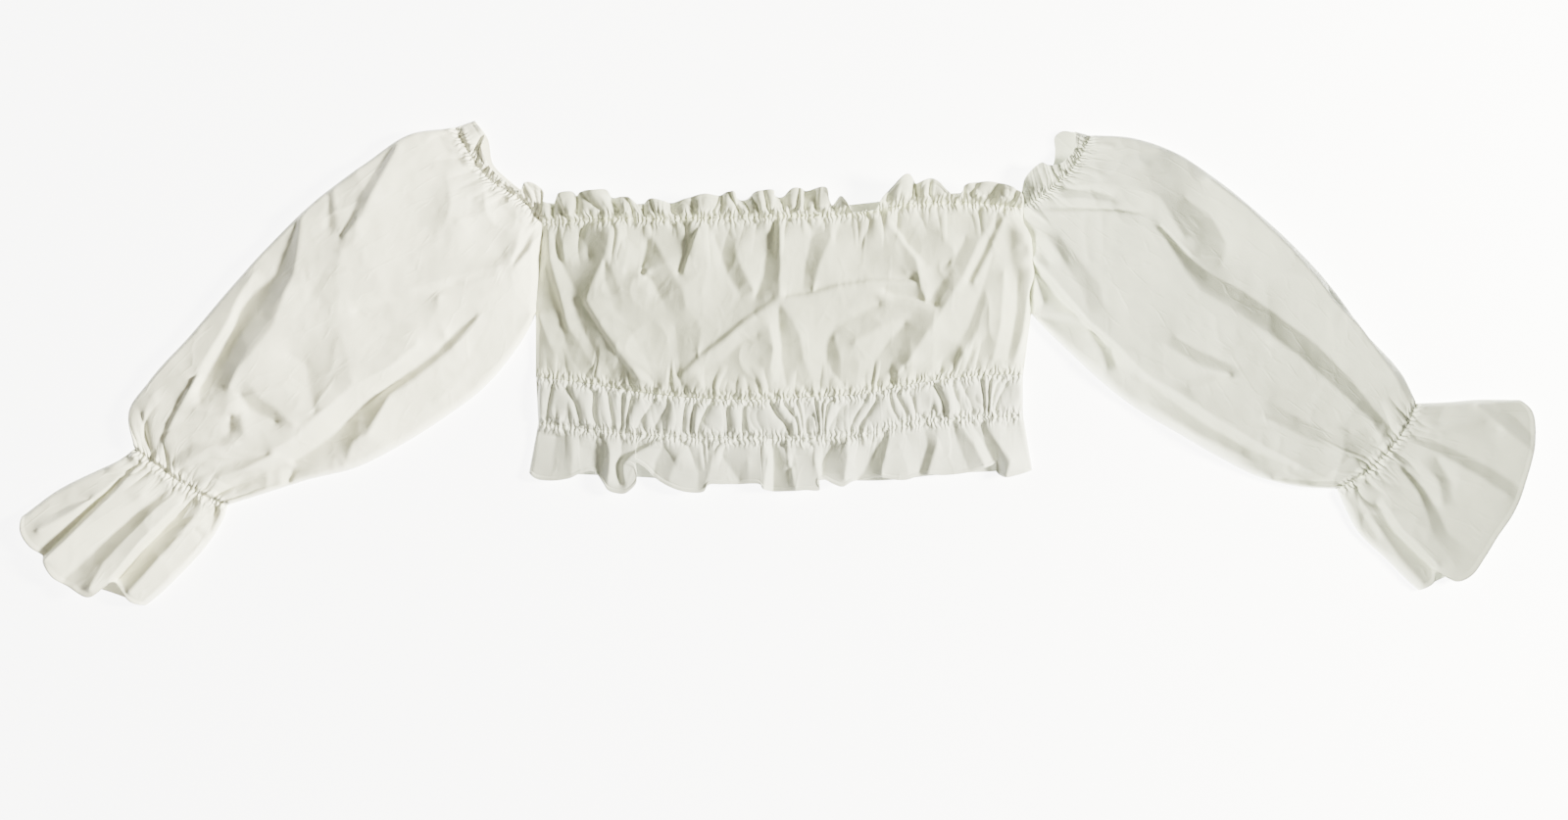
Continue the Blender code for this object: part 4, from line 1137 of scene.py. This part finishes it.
LEFT_SLEEVE_LINES = [
    # Broad fold along the outer side
    [Knot(-412, 129, 6), Knot(-421, 102, 7), Knot(-433, 74, 7), Knot(-451, 60, 6),
     Knot(-464, 45, 5), Knot(-471, 24, 5), Knot(-485, 0, 5), Knot(-499, -23, 6)],
    [Knot(-409, 126, 8), Knot(-411, 96, 13), Knot(-414, 75, 15), Knot(-422, 56, 16),
     Knot(-432, 30, 16), Knot(-450, 7, 16), Knot(-462, -6, 15), Knot(-470, -22, 14)],
    [Knot(-499, -23, 7), Knot(-497, -34, 8)],
    [Knot(-501, -40, 11), Knot(-482, -44, 12), Knot(-465, -42, 12)],
    [Knot(-451, 75, 9), Knot(-462, 60, 9), Knot(-473, 36, 9), Knot(-492, 4, 9), Knot(-507, -22, 8)],
    [Knot(-462, -27, 9), Knot(-455, -40, 8), Knot(-431, -51, 9)],
    [Knot(-457, -12, 14), Knot(-443, -29, 13), Knot(-428, -40, 13), Knot(-414, -54, 14)],
    [Knot(-470, -46, 8), Knot(-472, -60, 8)],
    [Knot(-460, -45, 12), Knot(-457, -61, 12)],
    [Knot(-419, 7, 12), Knot(-405, -1, 11), Knot(-402, -22, 11), Knot(-397, -42, 11)],
    [Knot(-377, 28, 15), Knot(-371, 18, 16), Knot(-367, 0, 16), Knot(-363, -18, 16)],
    [Knot(-373, 96, 15), Knot(-377, 75, 16), Knot(-375, 60, 16), Knot(-377, 41, 15)],
    [Knot(-383, 92, 14), Knot(-394, 69, 14), Knot(-410, 40, 14)],
    # Short fold near the shoulder
    [Knot(-332, 186, 6), Knot(-348, 164, 8), Knot(-361, 141, 9), Knot(-368, 121, 11), Knot(-377, 105, 12)],
    [Knot(-326, 187, 8), Knot(-337, 164, 12), Knot(-348, 142, 14), Knot(-356, 124, 14),
     Knot(-371, 108, 14)],
    [Knot(-388, 152, 6), Knot(-386, 135, 7), Knot(-387, 117, 8)],
    [Knot(-382, 149, 8), Knot(-379, 128, 10), Knot(-375, 113, 12)],
    # Lines that fan out from the neckline corner
    [Knot(-215, 136, 3), Knot(-221, 119, 6), Knot(-224, 100, 9), Knot(-230, 83, 11),
     Knot(-249, 80, 12), Knot(-275, 74, 13)],
    [Knot(-203, 113, 3), Knot(-213, 97, 8), Knot(-225, 82, 11)],
    [Knot(-211, 115, 2), Knot(-219, 98, 6), Knot(-227, 87, 9)],
    [Knot(-220, 141, 2), Knot(-236, 135, 6), Knot(-253, 129, 10), Knot(-275, 120, 12)],
    [Knot(-234, 143, 2), Knot(-247, 141, 6), Knot(-259, 140, 9)],
    [Knot(-237, 123, 7), Knot(-258, 115, 9), Knot(-266, 106, 10)],
    [Knot(-236, 92, 8), Knot(-266, 93, 10), Knot(-300, 90, 11), Knot(-332, 91, 12)],
    [Knot(-275, 74, 13), Knot(-300, 67, 14), Knot(-315, 62, 15), Knot(-351, 61, 15), Knot(-370, 55, 15)],
    [Knot(-275, 68, 11), Knot(-300, 58, 12), Knot(-332, 53, 12), Knot(-361, 44, 12)],
    [Knot(-290, 56, 14), Knot(-292, 39, 12), Knot(-285, 23, 11)],
    # Fold along the underarm side, with small facets below it
    [Knot(-259, 41, 9), Knot(-275, 28, 8), Knot(-296, 7, 8), Knot(-317, -8, 7),
     Knot(-338, -23, 5), Knot(-360, -40, 4), Knot(-381, -60, 3), Knot(-402, -76, 3), Knot(-419, -86, 3)],
    [Knot(-256, 39, 11), Knot(-270, 21, 12), Knot(-284, 7, 12), Knot(-309, -13, 12),
     Knot(-333, -29, 12), Knot(-341, -43, 13), Knot(-351, -61, 13), Knot(-363, -67, 11),
     Knot(-368, -79, 10), Knot(-371, -86, 8)],
    [Knot(-366, -21, 15), Knot(-355, -15, 15), Knot(-332, -4, 15), Knot(-309, 16, 14)],
    [Knot(-366, -21, 15), Knot(-385, -38, 14), Knot(-402, -52, 13), Knot(-419, -67, 12),
     Knot(-435, -74, 11)],
    [Knot(-419, -86, 3), Knot(-394, -88, 6), Knot(-371, -87, 8)],
    [Knot(-419, -93, 2), Knot(-422, -103, 2)],
    [Knot(-419, -87, 5), Knot(-445, -96, 4), Knot(-468, -111, 2)],
    [Knot(-239, 60, 9), Knot(-249, 30, 10), Knot(-268, -1, 9), Knot(-292, -32, 9)],
    # Folds that gather at the wrist
    [Knot(-506, -17, 9), Knot(-521, -42, 7), Knot(-533, -66, 4), Knot(-540, -83, 1)],
    [Knot(-499, -13, 12), Knot(-514, -40, 10), Knot(-528, -68, 7), Knot(-533, -85, 2)],
    [Knot(-530, -95, 1), Knot(-517, -79, 4), Knot(-500, -68, 7), Knot(-477, -65, 9)],
    [Knot(-521, -96, 2), Knot(-508, -85, 6), Knot(-491, -75, 9), Knot(-465, -69, 12)],
    [Knot(-510, -106, 1), Knot(-491, -93, 4), Knot(-466, -85, 7), Knot(-439, -78, 9)],
    [Knot(-504, -108, 2), Knot(-483, -99, 6), Knot(-457, -91, 10), Knot(-433, -79, 11)],
    [Knot(-484, -114, 1), Knot(-462, -101, 3), Knot(-436, -92, 5)],
    [Knot(-555, -35, 6), Knot(-547, -46, 5), Knot(-546, -66, 1)],
    [Knot(-538, -28, 8), Knot(-545, -45, 7), Knot(-550, -64, 3)],
]
RIGHT_SLEEVE_LINES = [
    # The long fold from the neckline corner over the shoulder to the wrist
    [Knot(218, 130, 4), Knot(252, 130, 9), Knot(286, 130, 12), Knot(315, 125, 14),
     Knot(332, 106, 16), Knot(348, 79, 17), Knot(361, 62, 17), Knot(394, 42, 17)],
    [Knot(394, 42, 17), Knot(422, 23, 16), Knot(456, -2, 15), Knot(486, -28, 12),
     Knot(512, -51, 8), Knot(525, -69, 4)],
    [Knot(227, 135, 4), Knot(261, 134, 7), Knot(295, 131, 10), Knot(312, 129, 12)],
    [Knot(329, 117, 12), Knot(346, 99, 11), Knot(367, 81, 9), Knot(399, 63, 8), Knot(431, 41, 8),
     Knot(465, 16, 8), Knot(492, -12, 7), Knot(516, -40, 5), Knot(530, -56, 2)],
    [Knot(331, 119, 14), Knot(343, 106, 13), Knot(356, 92, 12)],
    [Knot(343, 126, 14), Knot(353, 114, 12), Knot(363, 102, 10)],
    [Knot(261, 153, 8), Knot(282, 153, 12), Knot(303, 151, 14), Knot(327, 142, 16),
     Knot(337, 126, 16), Knot(348, 108, 14)],
    [Knot(351, 142, 9), Knot(376, 124, 6), Knot(388, 102, 5), Knot(383, 84, 6)],
    [Knot(371, 158, 12), Knot(405, 132, 14), Knot(439, 98, 15), Knot(469, 64, 15),
     Knot(503, 26, 14), Knot(531, -12, 11), Knot(545, -37, 6)],
    [Knot(473, 75, 6), Knot(477, 56, 7), Knot(496, 38, 6)],
    # Folds at the neckline corner
    [Knot(271, 160, 8), Knot(295, 165, 12), Knot(317, 170, 13)],
    [Knot(276, 173, 6), Knot(299, 179, 8), Knot(330, 184, 10)],
    [Knot(285, 194, 6), Knot(275, 189, 5)],
    [Knot(247, 151, 3), Knot(269, 149, 8), Knot(286, 144, 10)],
    [Knot(229, 141, 4), Knot(261, 141, 10), Knot(288, 137, 13)],
    [Knot(232, 108, 9), Knot(244, 90, 12), Knot(261, 62, 13), Knot(268, 43, 13)],
    [Knot(244, 108, 7), Knot(259, 90, 9), Knot(277, 68, 10), Knot(281, 50, 11)],
    [Knot(224, 102, 6), Knot(234, 87, 7)],
    # The fold that lies over the armhole, and the cloth that shows under it
    [Knot(213, 97, 6), Knot(229, 82, 9), Knot(246, 61, 12), Knot(269, 34, 13), Knot(296, 11, 13)],
    [Knot(212, 89, 2), Knot(227, 74, 2), Knot(244, 57, 2), Knot(266, 33, 4), Knot(285, 15, 6),
     Knot(292, 6, 8)],
    [Knot(222, 76, 6), Knot(225, 64, 9), Knot(229, 52, 9)],
    [Knot(238, 61, 2), Knot(248, 50, 2)],
    [Knot(224, 40, 1), Knot(244, 37, 2), Knot(264, 34, 4)],
    [Knot(229, 46, 4), Knot(248, 42, 5), Knot(261, 39, 7)],
    [Knot(269, 26, 8), Knot(279, 9, 10), Knot(283, -6, 10)],
    [Knot(288, 14, 5), Knot(293, -3, 5)],
    # Folds along the underarm side
    [Knot(296, 11, 13), Knot(319, -11, 13), Knot(346, -27, 13), Knot(380, -49, 12),
     Knot(414, -69, 11), Knot(448, -86, 8), Knot(473, -99, 4)],
    [Knot(310, -12, 9), Knot(337, -30, 8), Knot(367, -51, 7), Knot(399, -70, 6),
     Knot(431, -85, 5), Knot(458, -96, 4)],
    [Knot(320, -35, 9), Knot(359, -60, 10), Knot(397, -79, 9), Knot(421, -91, 5)],
    [Knot(428, -99, 2), Knot(465, -102, 2), Knot(497, -102, 2)],
    [Knot(448, -91, 6), Knot(482, -93, 6), Knot(503, -96, 2)],
    # Soft folds in the middle
    [Knot(333, 15, 15), Knot(359, -2, 16), Knot(388, -11, 16)],
    [Knot(342, 22, 12), Knot(365, 9, 12), Knot(394, -3, 12)],
    [Knot(380, 8, 13), Knot(399, 14, 12), Knot(420, 17, 13)],
    [Knot(354, -23, 11), Knot(380, -15, 11), Knot(415, -17, 12)],
    [Knot(424, -34, 12), Knot(456, -51, 9), Knot(490, -66, 7), Knot(514, -78, 3)],
    [Knot(418, -47, 14), Knot(452, -64, 12), Knot(482, -75, 9), Knot(507, -85, 3)],
    [Knot(492, -59, 6), Knot(507, -56, 6), Knot(518, -68, 3)],
]

# The sleeves' tints are painted light: the left one lighter, and the right one a little darker and bluer
# than the body's, for the light each sleeve lies in
left_cotton = cotton_material("cotton left sleeve", (0.86, 0.85, 0.72))
right_cotton = cotton_material("cotton right sleeve", (0.772, 0.802, 0.695))


def add_sleeve(name, sections, head, corner, underarm, wrist, folds, seed, material):
    outer = curve_through([Place(s.outer_x, s.outer_y) for s in sections])
    inner = curve_through([Place(s.inner_x, s.inner_y) for s in sections])
    start = one_after_other(curve_through(head), straight(corner, underarm), HEAD_SHARE)
    end = curve_through(wrist)
    surface = patch(start, end, outer, inner)
    rims = [
        level(start(steps * HEAD_SHARE), ELASTIC_RISE),
        level(start(HEAD_SHARE + steps * (1 - HEAD_SHARE)), ARMHOLE_HEIGHT),
        level(outer(steps), EDGE_HEIGHT),
        level(inner(steps), EDGE_HEIGHT),
        level(end(steps), ELASTIC_RISE),
    ]
    form = settled(folds + rims)

    def height_of(across, along, place):
        to_start = distance(place, start(across))
        to_wrist = distance(place, end(across))
        on_elastic = 1 - ramp(across, HEAD_SHARE - 0.03, HEAD_SHARE)
        ends = ramp(to_start, 0, 14) * ramp(to_wrist, 0, 16)
        height = ELASTIC_RISE + SLEEVE_RELIEF * (form(place) - ELASTIC_RISE)
        head_run = HEAD_LENGTH * across / HEAD_SHARE
        wrist_run = WRIST_LENGTH * across
        head_pleats = pleats(head_run, to_start, seed + 1, reach=26, height=2.5, pitch=12)
        height += (tucks(head_run, to_start, seed) + head_pleats) * on_elastic
        height += tucks(wrist_run, to_wrist, seed + 2)
        height += pleats(wrist_run, to_wrist, seed + 3, reach=40, height=3.0, pitch=12)
        height += unevenness(place, seed + 40) * ends
        to_elastic = np.minimum(np.where(on_elastic > 0.5, to_start, FAR), to_wrist)
        return height, np.stack([np.where(to_start < to_wrist, head_run, wrist_run), to_elastic], -1)

    head_columns = int(SLEEVE_COLUMNS * HEAD_SHARE)
    over_head = np.linspace(0, HEAD_SHARE, head_columns + 1)
    over_armhole = np.linspace(HEAD_SHARE, 1, SLEEVE_COLUMNS - head_columns + 1)[1:]
    shares = spaced(SLEEVE_ROWS, 0.5, 0.6)
    sleeve_columns = np.concatenate([over_head, over_armhole])
    points, elastic = pressed_tube(
        surface, surface, shares, sleeve_columns, SLEEVE_LOWER_COLUMNS, height_of
    )
    flat_cut = ring_cut(points, shares, width=760, length=470)
    sleeve = add_cloth(name, points, flat_cut, elastic, closed=True)
    finish_cloth(sleeve, material, name)


add_sleeve(
    "sleeve_left", LEFT_SLEEVE, LEFT_HEAD_ELASTIC, NECK_LEFT, UNDERARM_LEFT, LEFT_WRIST, LEFT_SLEEVE_LINES,
    LEFT_SEED, left_cotton,
)
add_sleeve(
    "sleeve_right", RIGHT_SLEEVE, RIGHT_HEAD_ELASTIC, NECK_RIGHT, UNDERARM_RIGHT, RIGHT_WRIST,
    RIGHT_SLEEVE_LINES, RIGHT_SEED, right_cotton,
)


# Frills over the sleeve heads: each sleeve's cloth runs on past the neck elastic as the same narrow frill
# with its rolled hem. It turns round the sleeve's outer edge and back along the layer below.
HEAD_FRILL_ROWS = 22
HEAD_FRILL_COLUMNS = 131
HEAD_FRILL_BACK_COLUMNS = 25
HEAD_FRILL_LIFT = 1.2
HEAD_FRILL_CUT = 260.0

# Feet in hundredths of the way along the sleeve's neck elastic
LEFT_HEAD_FRILL_EDGE = [
    Wave(0, -262, 210, 0.5),
    Wave(10, -255, 201, 1.5),
    Wave(20, -252, 194, 3.0),
    Wave(30, -255, 186, 3.0),
    Wave(41, -249, 171, 2.0),
    Wave(50, -243, 164, 3.0),
    Wave(58, -236, 158, 2.0),
    Wave(68, -226, 150, 2.0),
    Wave(76, -221, 149, 4.0),
    Wave(83, -217, 155, 8.0),
    Wave(91, -207, 153, 8.0),
    Wave(96, -201, 147, 5.0),
    Wave(100, -202, 139, 2.0),
]
RIGHT_HEAD_FRILL_EDGE = [
    Wave(0, 258, 200, 0.5),
    Wave(12, 257, 194, 2.0),
    Wave(24, 256, 184, 4.0),
    Wave(36, 251, 177, 5.0),
    Wave(48, 243, 171, 4.0),
    Wave(58, 234, 170, 6.0),
    Wave(70, 227, 172, 8.0),
    Wave(80, 219, 166, 7.0),
    Wave(90, 213, 158, 5.0),
    Wave(100, 211, 147, 2.0),
]
LEFT_HEAD_FRILL_BACK = [
    Place(-262, 210),
    Place(-251, 195),
    Place(-246, 172),
    Place(-232, 158),
    Place(-219, 148),
    Place(-202, 139),
]
RIGHT_HEAD_FRILL_BACK = [
    Place(258, 200),
    Place(247, 201),
    Place(241, 197),
    Place(241, 184),
    Place(239, 171),
    Place(225, 160),
    Place(211, 147),
]


def add_head_frill(name, head, edge_above, edge_below, seed, material):
    foot = curve_through(head)
    above = waves_through(edge_above)
    below = curve_through(edge_below)
    # Shares along the elastic: 1 at the bodice corner, 0 at the outer fold, and negative on the way back
    way_out = np.linspace(1, 0, HEAD_FRILL_COLUMNS)
    way_back = -np.linspace(0, 1, HEAD_FRILL_BACK_COLUMNS)[1:]
    strip = np.concatenate([way_out, way_back])
    signed, along = np.meshgrid(strip, spaced(HEAD_FRILL_ROWS, 0.4, 0.5))
    across = np.abs(signed)
    upper = signed >= 0
    crest = above(across)
    rim = np.where(upper[..., None], crest[..., :2], below(across))
    place = foot(across) + along[..., None] * (rim - foot(across))
    away = distance(place, foot(across))
    to_rim = distance(rim, place)
    run = HEAD_LENGTH * across
    height = HEAD_FRILL_LIFT * crest[..., 2] * along**1.2 + tucks(run, away, seed) + hem_step(to_rim)
    height += pleats(run, away, seed + 5, reach=50, height=3.4, pitch=14)
    inside = 1 - np.clip(across * HEAD_LENGTH / FOLD_ROUND, 0, 1)
    rounded = np.sqrt(np.clip(1 - inside * inside, 0, 1))
    high = FOLD_Z + (UPPER_Z + ELASTIC_RISE + at_least_zero(height, 0.3) - FOLD_Z) * rounded
    low = FOLD_Z + (LOWER_Z - FOLD_Z) * rounded
    points = np.concatenate([place, np.where(upper, high, low)[..., None]], -1)
    flat_cut = np.stack([HEAD_FRILL_CUT / 2 * (1 - signed), FRILL_CUT_DEPTH * along], -1)
    frill = add_cloth(name, points, flat_cut, np.stack([run, np.where(upper, away, FAR)], -1))
    finish_cloth(frill, material, name)


add_head_frill(
    "sleeve_neck_frill_left", LEFT_HEAD_ELASTIC, LEFT_HEAD_FRILL_EDGE, LEFT_HEAD_FRILL_BACK, LEFT_SEED,
    left_cotton,
)
add_head_frill(
    "sleeve_neck_frill_right", RIGHT_HEAD_ELASTIC, RIGHT_HEAD_FRILL_EDGE, RIGHT_HEAD_FRILL_BACK,
    RIGHT_SEED, right_cotton,
)


# Cuff frills: past the wrist elastic each sleeve's cloth flares into a wide frill with deep pleats and the
# same rolled hem. It lies pressed flat, and its lower layer shows in the notches of the upper one.
CUFF_ROWS = 66
CUFF_SIDE_HEIGHT = 3
CUFF_CREASES = 0.6
LEFT_CUFF_RELIEF = 1.8
RIGHT_CUFF_RELIEF = 0.95

LEFT_CUFF_OUTER = [
    Place(-556, -74),
    Place(-570, -84),
    Place(-589, -93),
    Place(-623, -110),
    Place(-653, -132),
]
LEFT_CUFF_INNER = [
    Place(-476, -123),
    Place(-479, -133),
    Place(-486, -146),
    Place(-521, -187),
    Place(-538, -203),
    Place(-547, -210),
]
RIGHT_CUFF_OUTER = [
    Place(553, -35),
    Place(580, -34),
    Place(605, -32),
    Place(643, -32),
]
RIGHT_CUFF_INNER = [
    Place(485, -109),
    Place(492, -125),
    Place(502, -144),
    Place(529, -171),
    Place(549, -191),
    Place(556, -197),
]
# Feet in hundredths of the way along the wrist elastic
LEFT_CUFF_EDGE = [
    EdgePlace(0, -653, -132),
    EdgePlace(10, -653, -146),
    EdgePlace(20, -645, -159),
    EdgePlace(28, -633, -168),
    EdgePlace(32, -632, -173),
    EdgePlace(40, -625, -185),
    EdgePlace(50, -610, -194),
    EdgePlace(60, -595, -202),
    EdgePlace(67, -587, -200),
    EdgePlace(73, -577, -191),
    EdgePlace(78, -572, -189),
    EdgePlace(84, -567, -195),
    EdgePlace(92, -558, -206),
    EdgePlace(100, -547, -210),
]
RIGHT_CUFF_EDGE = [
    EdgePlace(0, 643, -32),
    EdgePlace(8, 652, -41),
    EdgePlace(18, 655, -58),
    EdgePlace(28, 652, -80),
    EdgePlace(38, 644, -110),
    EdgePlace(48, 634, -132),
    EdgePlace(57, 622, -150),
    EdgePlace(66, 611, -168),
    EdgePlace(74, 599, -184),
    EdgePlace(81, 586, -189),
    EdgePlace(86, 577, -185),
    EdgePlace(89, 570, -181),
    EdgePlace(93, 568, -189),
    EdgePlace(100, 556, -197),
]
LEFT_CUFF_BACK = [
    Place(-653, -132),
    Place(-640, -158),
    Place(-612, -186),
    Place(-575, -200),
    Place(-547, -210),
]
RIGHT_CUFF_BACK = [
    Place(643, -32),
    Place(650, -70),
    Place(634, -124),
    Place(604, -170),
    Place(556, -197),
]
LEFT_CUFF_LINES = [
    [Knot(-637, -145, 7), Knot(-606, -128, 7), Knot(-579, -109, 5), Knot(-562, -93, 2)],
    [Knot(-645, -132, 4), Knot(-623, -129, 4), Knot(-608, -121, 4), Knot(-588, -117, 4)],
    [Knot(-634, -166, 3), Knot(-614, -147, 3), Knot(-592, -125, 2), Knot(-571, -104, 2),
     Knot(-556, -88, 1)],
    [Knot(-630, -170, 9), Knot(-609, -150, 9), Knot(-588, -129, 8), Knot(-567, -108, 6),
     Knot(-552, -91, 3)],
    [Knot(-586, -133, 8), Knot(-565, -126, 6), Knot(-547, -114, 5)],
    [Knot(-616, -188, 4), Knot(-593, -166, 4), Knot(-572, -146, 3), Knot(-547, -125, 3),
     Knot(-524, -108, 2)],
    [Knot(-591, -195, 9), Knot(-579, -173, 9), Knot(-558, -151, 8), Knot(-538, -130, 7),
     Knot(-521, -114, 4)],
    [Knot(-576, -188, 8), Knot(-564, -174, 9), Knot(-547, -154, 9), Knot(-530, -136, 7),
     Knot(-515, -121, 4)],
    [Knot(-570, -187, 1), Knot(-560, -176, 1), Knot(-544, -157, 1), Knot(-527, -140, 1),
     Knot(-512, -125, 1), Knot(-503, -117, 1)],
    [Knot(-558, -198, 8), Knot(-538, -176, 9), Knot(-519, -155, 8), Knot(-504, -136, 6),
     Knot(-495, -124, 3)],
    [Knot(-485, -125, 1), Knot(-490, -146, 2)],
    [Knot(-547, -205, 5), Knot(-521, -185, 6), Knot(-497, -154, 5)],
]
RIGHT_CUFF_LINES = [
    [Knot(532, -87, 4), Knot(543, -99, 7), Knot(554, -115, 9), Knot(560, -132, 9), Knot(564, -151, 9)],
    [Knot(541, -91, 2), Knot(558, -107, 3), Knot(571, -127, 4), Knot(580, -148, 5), Knot(601, -163, 6)],
    [Knot(555, -85, 6), Knot(570, -102, 8), Knot(574, -121, 8)],
    [Knot(570, -83, 4), Knot(582, -102, 4), Knot(583, -124, 6)],
    [Knot(547, -68, 4), Knot(575, -81, 8), Knot(601, -96, 10), Knot(630, -115, 10)],
    [Knot(552, -65, 2), Knot(584, -74, 3), Knot(614, -89, 4), Knot(639, -105, 5)],
    [Knot(558, -68, 2), Knot(588, -62, 4), Knot(623, -57, 6)],
    [Knot(555, -46, 2), Knot(575, -52, 5), Knot(584, -46, 5)],
    [Knot(563, -59, 6), Knot(588, -54, 8), Knot(609, -51, 8)],
    [Knot(604, -36, 7), Knot(625, -55, 9), Knot(650, -76, 9)],
    [Knot(621, -34, 5), Knot(641, -49, 4), Knot(654, -64, 5)],
    [Knot(518, -121, 1), Knot(533, -145, 1), Knot(550, -162, 1), Knot(567, -178, 1)],
    [Knot(524, -120, 6), Knot(538, -142, 8), Knot(555, -159, 9), Knot(570, -175, 9)],
    [Knot(504, -119, 4), Knot(520, -144, 6), Knot(538, -170, 7), Knot(557, -190, 7)],
    [Knot(492, -113, 1), Knot(506, -131, 2), Knot(518, -151, 3)],
    [Knot(520, -93, 5), Knot(537, -114, 7), Knot(554, -136, 9), Knot(584, -174, 8)],
]


def add_cuff(name, wrist, outer_side, inner_side, edge, edge_below, folds, relief, seed, material):
    start = curve_through(wrist)
    rim = waves_through(edge)
    rim_below = curve_through(edge_below)
    lower_surface = patch(start, rim_below, curve_through(outer_side), curve_through(inner_side))

    sides = [level(curve_through(side)(steps), CUFF_SIDE_HEIGHT) for side in (outer_side, inner_side)]
    form = settled(folds + sides + [level(start(steps), ELASTIC_RISE)])

    def upper_surface(across, along):
        between_rims = rim(across) - rim_below(across)
        return lower_surface(across, along) + along[..., None] ** 2.5 * between_rims

    def height_of(across, along, place):
        to_wrist = distance(place, start(across))
        to_rim = distance(rim(across), place)
        ends = ramp(to_wrist, 0, 10)
        run = WRIST_LENGTH * across
        height = ELASTIC_RISE + relief * (form(place) - ELASTIC_RISE)
        height += tucks(run, to_wrist, seed + 2)
        height += pleats(run, to_wrist, seed + 7, reach=45, height=3.0, pitch=12)
        height += CUFF_CREASES * unevenness(place, seed + 60) * ends + hem_step(to_rim)
        return at_least_zero(height, 0.5), np.stack([run, to_wrist], -1)

    shares = spaced(CUFF_ROWS, 0.5, 0.4)
    cuff_columns = np.linspace(0, 1, SLEEVE_COLUMNS + 1)
    points, elastic = pressed_tube(
        upper_surface, lower_surface, shares, cuff_columns, SLEEVE_LOWER_COLUMNS, height_of
    )
    flat_cut = ring_cut(points, shares, width=560, length=115)
    cuff = add_cloth(name, points, flat_cut, elastic, closed=True)
    finish_cloth(cuff, material, name)


add_cuff(
    "cuff_frill_left", LEFT_WRIST, LEFT_CUFF_OUTER, LEFT_CUFF_INNER, LEFT_CUFF_EDGE, LEFT_CUFF_BACK,
    LEFT_CUFF_LINES, LEFT_CUFF_RELIEF, LEFT_SEED, left_cotton,
)
add_cuff(
    "cuff_frill_right", RIGHT_WRIST, RIGHT_CUFF_OUTER, RIGHT_CUFF_INNER, RIGHT_CUFF_EDGE, RIGHT_CUFF_BACK,
    RIGHT_CUFF_LINES, RIGHT_CUFF_RELIEF, RIGHT_SEED, right_cotton,
)


# Table, light and camera: a plain white table seen from straight above. One soft window on the right
# lights the body and another the left arm, and one on the left lights the right arm.
CAMERA_X = 0.00595
CAMERA_Y = -0.0408
CAMERA_HEIGHT = 1.889
WARM = (1.0, 0.985, 0.80)

bpy.ops.mesh.primitive_plane_add(size=6, location=(0, 0, 0))
floor = bpy.context.object
floor.name = "floor"
white = bpy.data.materials.new("white table")
white.use_nodes = True
table_shader = white.node_tree.nodes["Principled BSDF"]
table_shader.inputs["Base Color"].default_value = (0.95, 0.95, 0.95, 1)
table_shader.inputs["Roughness"].default_value = 0.9
table_shader.inputs["Emission Color"].default_value = (1, 1, 1, 1)
table_shader.inputs["Emission Strength"].default_value = 7.0
floor.data.materials.append(white)


def add_light(name, place, target, energy, size):
    lamp = bpy.data.lights.new(name, "AREA")
    lamp.shape = "DISK"
    lamp.size = size
    lamp.energy = energy
    lamp.color = WARM
    light = bpy.data.objects.new(name, lamp)
    light.location = place
    aim = np.array(target) - np.array(place)
    light.rotation_mode = "QUATERNION"
    light.rotation_quaternion = Vector(aim).to_track_quat("-Z", "Y")
    bpy.context.scene.collection.objects.link(light)
    return light


# Where each window hangs, where it points and its power. Each lights its own part of the garment.
WINDOWS = {
    "body": ((1.85, 0.1, 1.1), (0, 0, 0), 236),
    "left": ((2.4, 0.0, 1.62), (-0.3, 0, 0), 720),
    "right": ((-0.9, -0.35, 1.1), (0.3, 0, 0), 121),
}
for part, (spot, target, energy) in WINDOWS.items():
    window = add_light("window for " + part, spot, target, energy, size=0.5)
    lit = bpy.data.collections.new("lit for " + part)
    for piece in list(bpy.context.scene.collection.all_objects):
        arm = "left" if "_left" in piece.name else "right" if "_right" in piece.name else "body"
        if piece.type == "MESH" and arm == part:
            lit.objects.link(piece)
    window.light_linking.receiver_collection = lit
add_light("ceiling", (-0.3, -0.2, 2.6), (0, 0, 0), energy=12, size=3.0)
world = bpy.data.worlds.new("room")
world.use_nodes = True
world.node_tree.nodes["Background"].inputs["Color"].default_value = (*WARM, 1)
world.node_tree.nodes["Background"].inputs["Strength"].default_value = 0.16
bpy.context.scene.world = world

bpy.ops.object.camera_add(location=(CAMERA_X, CAMERA_Y, CAMERA_HEIGHT), rotation=(0, 0, 0))
camera = bpy.context.object
camera.data.lens = 50
camera.data.sensor_width = 36
bpy.context.scene.camera = camera
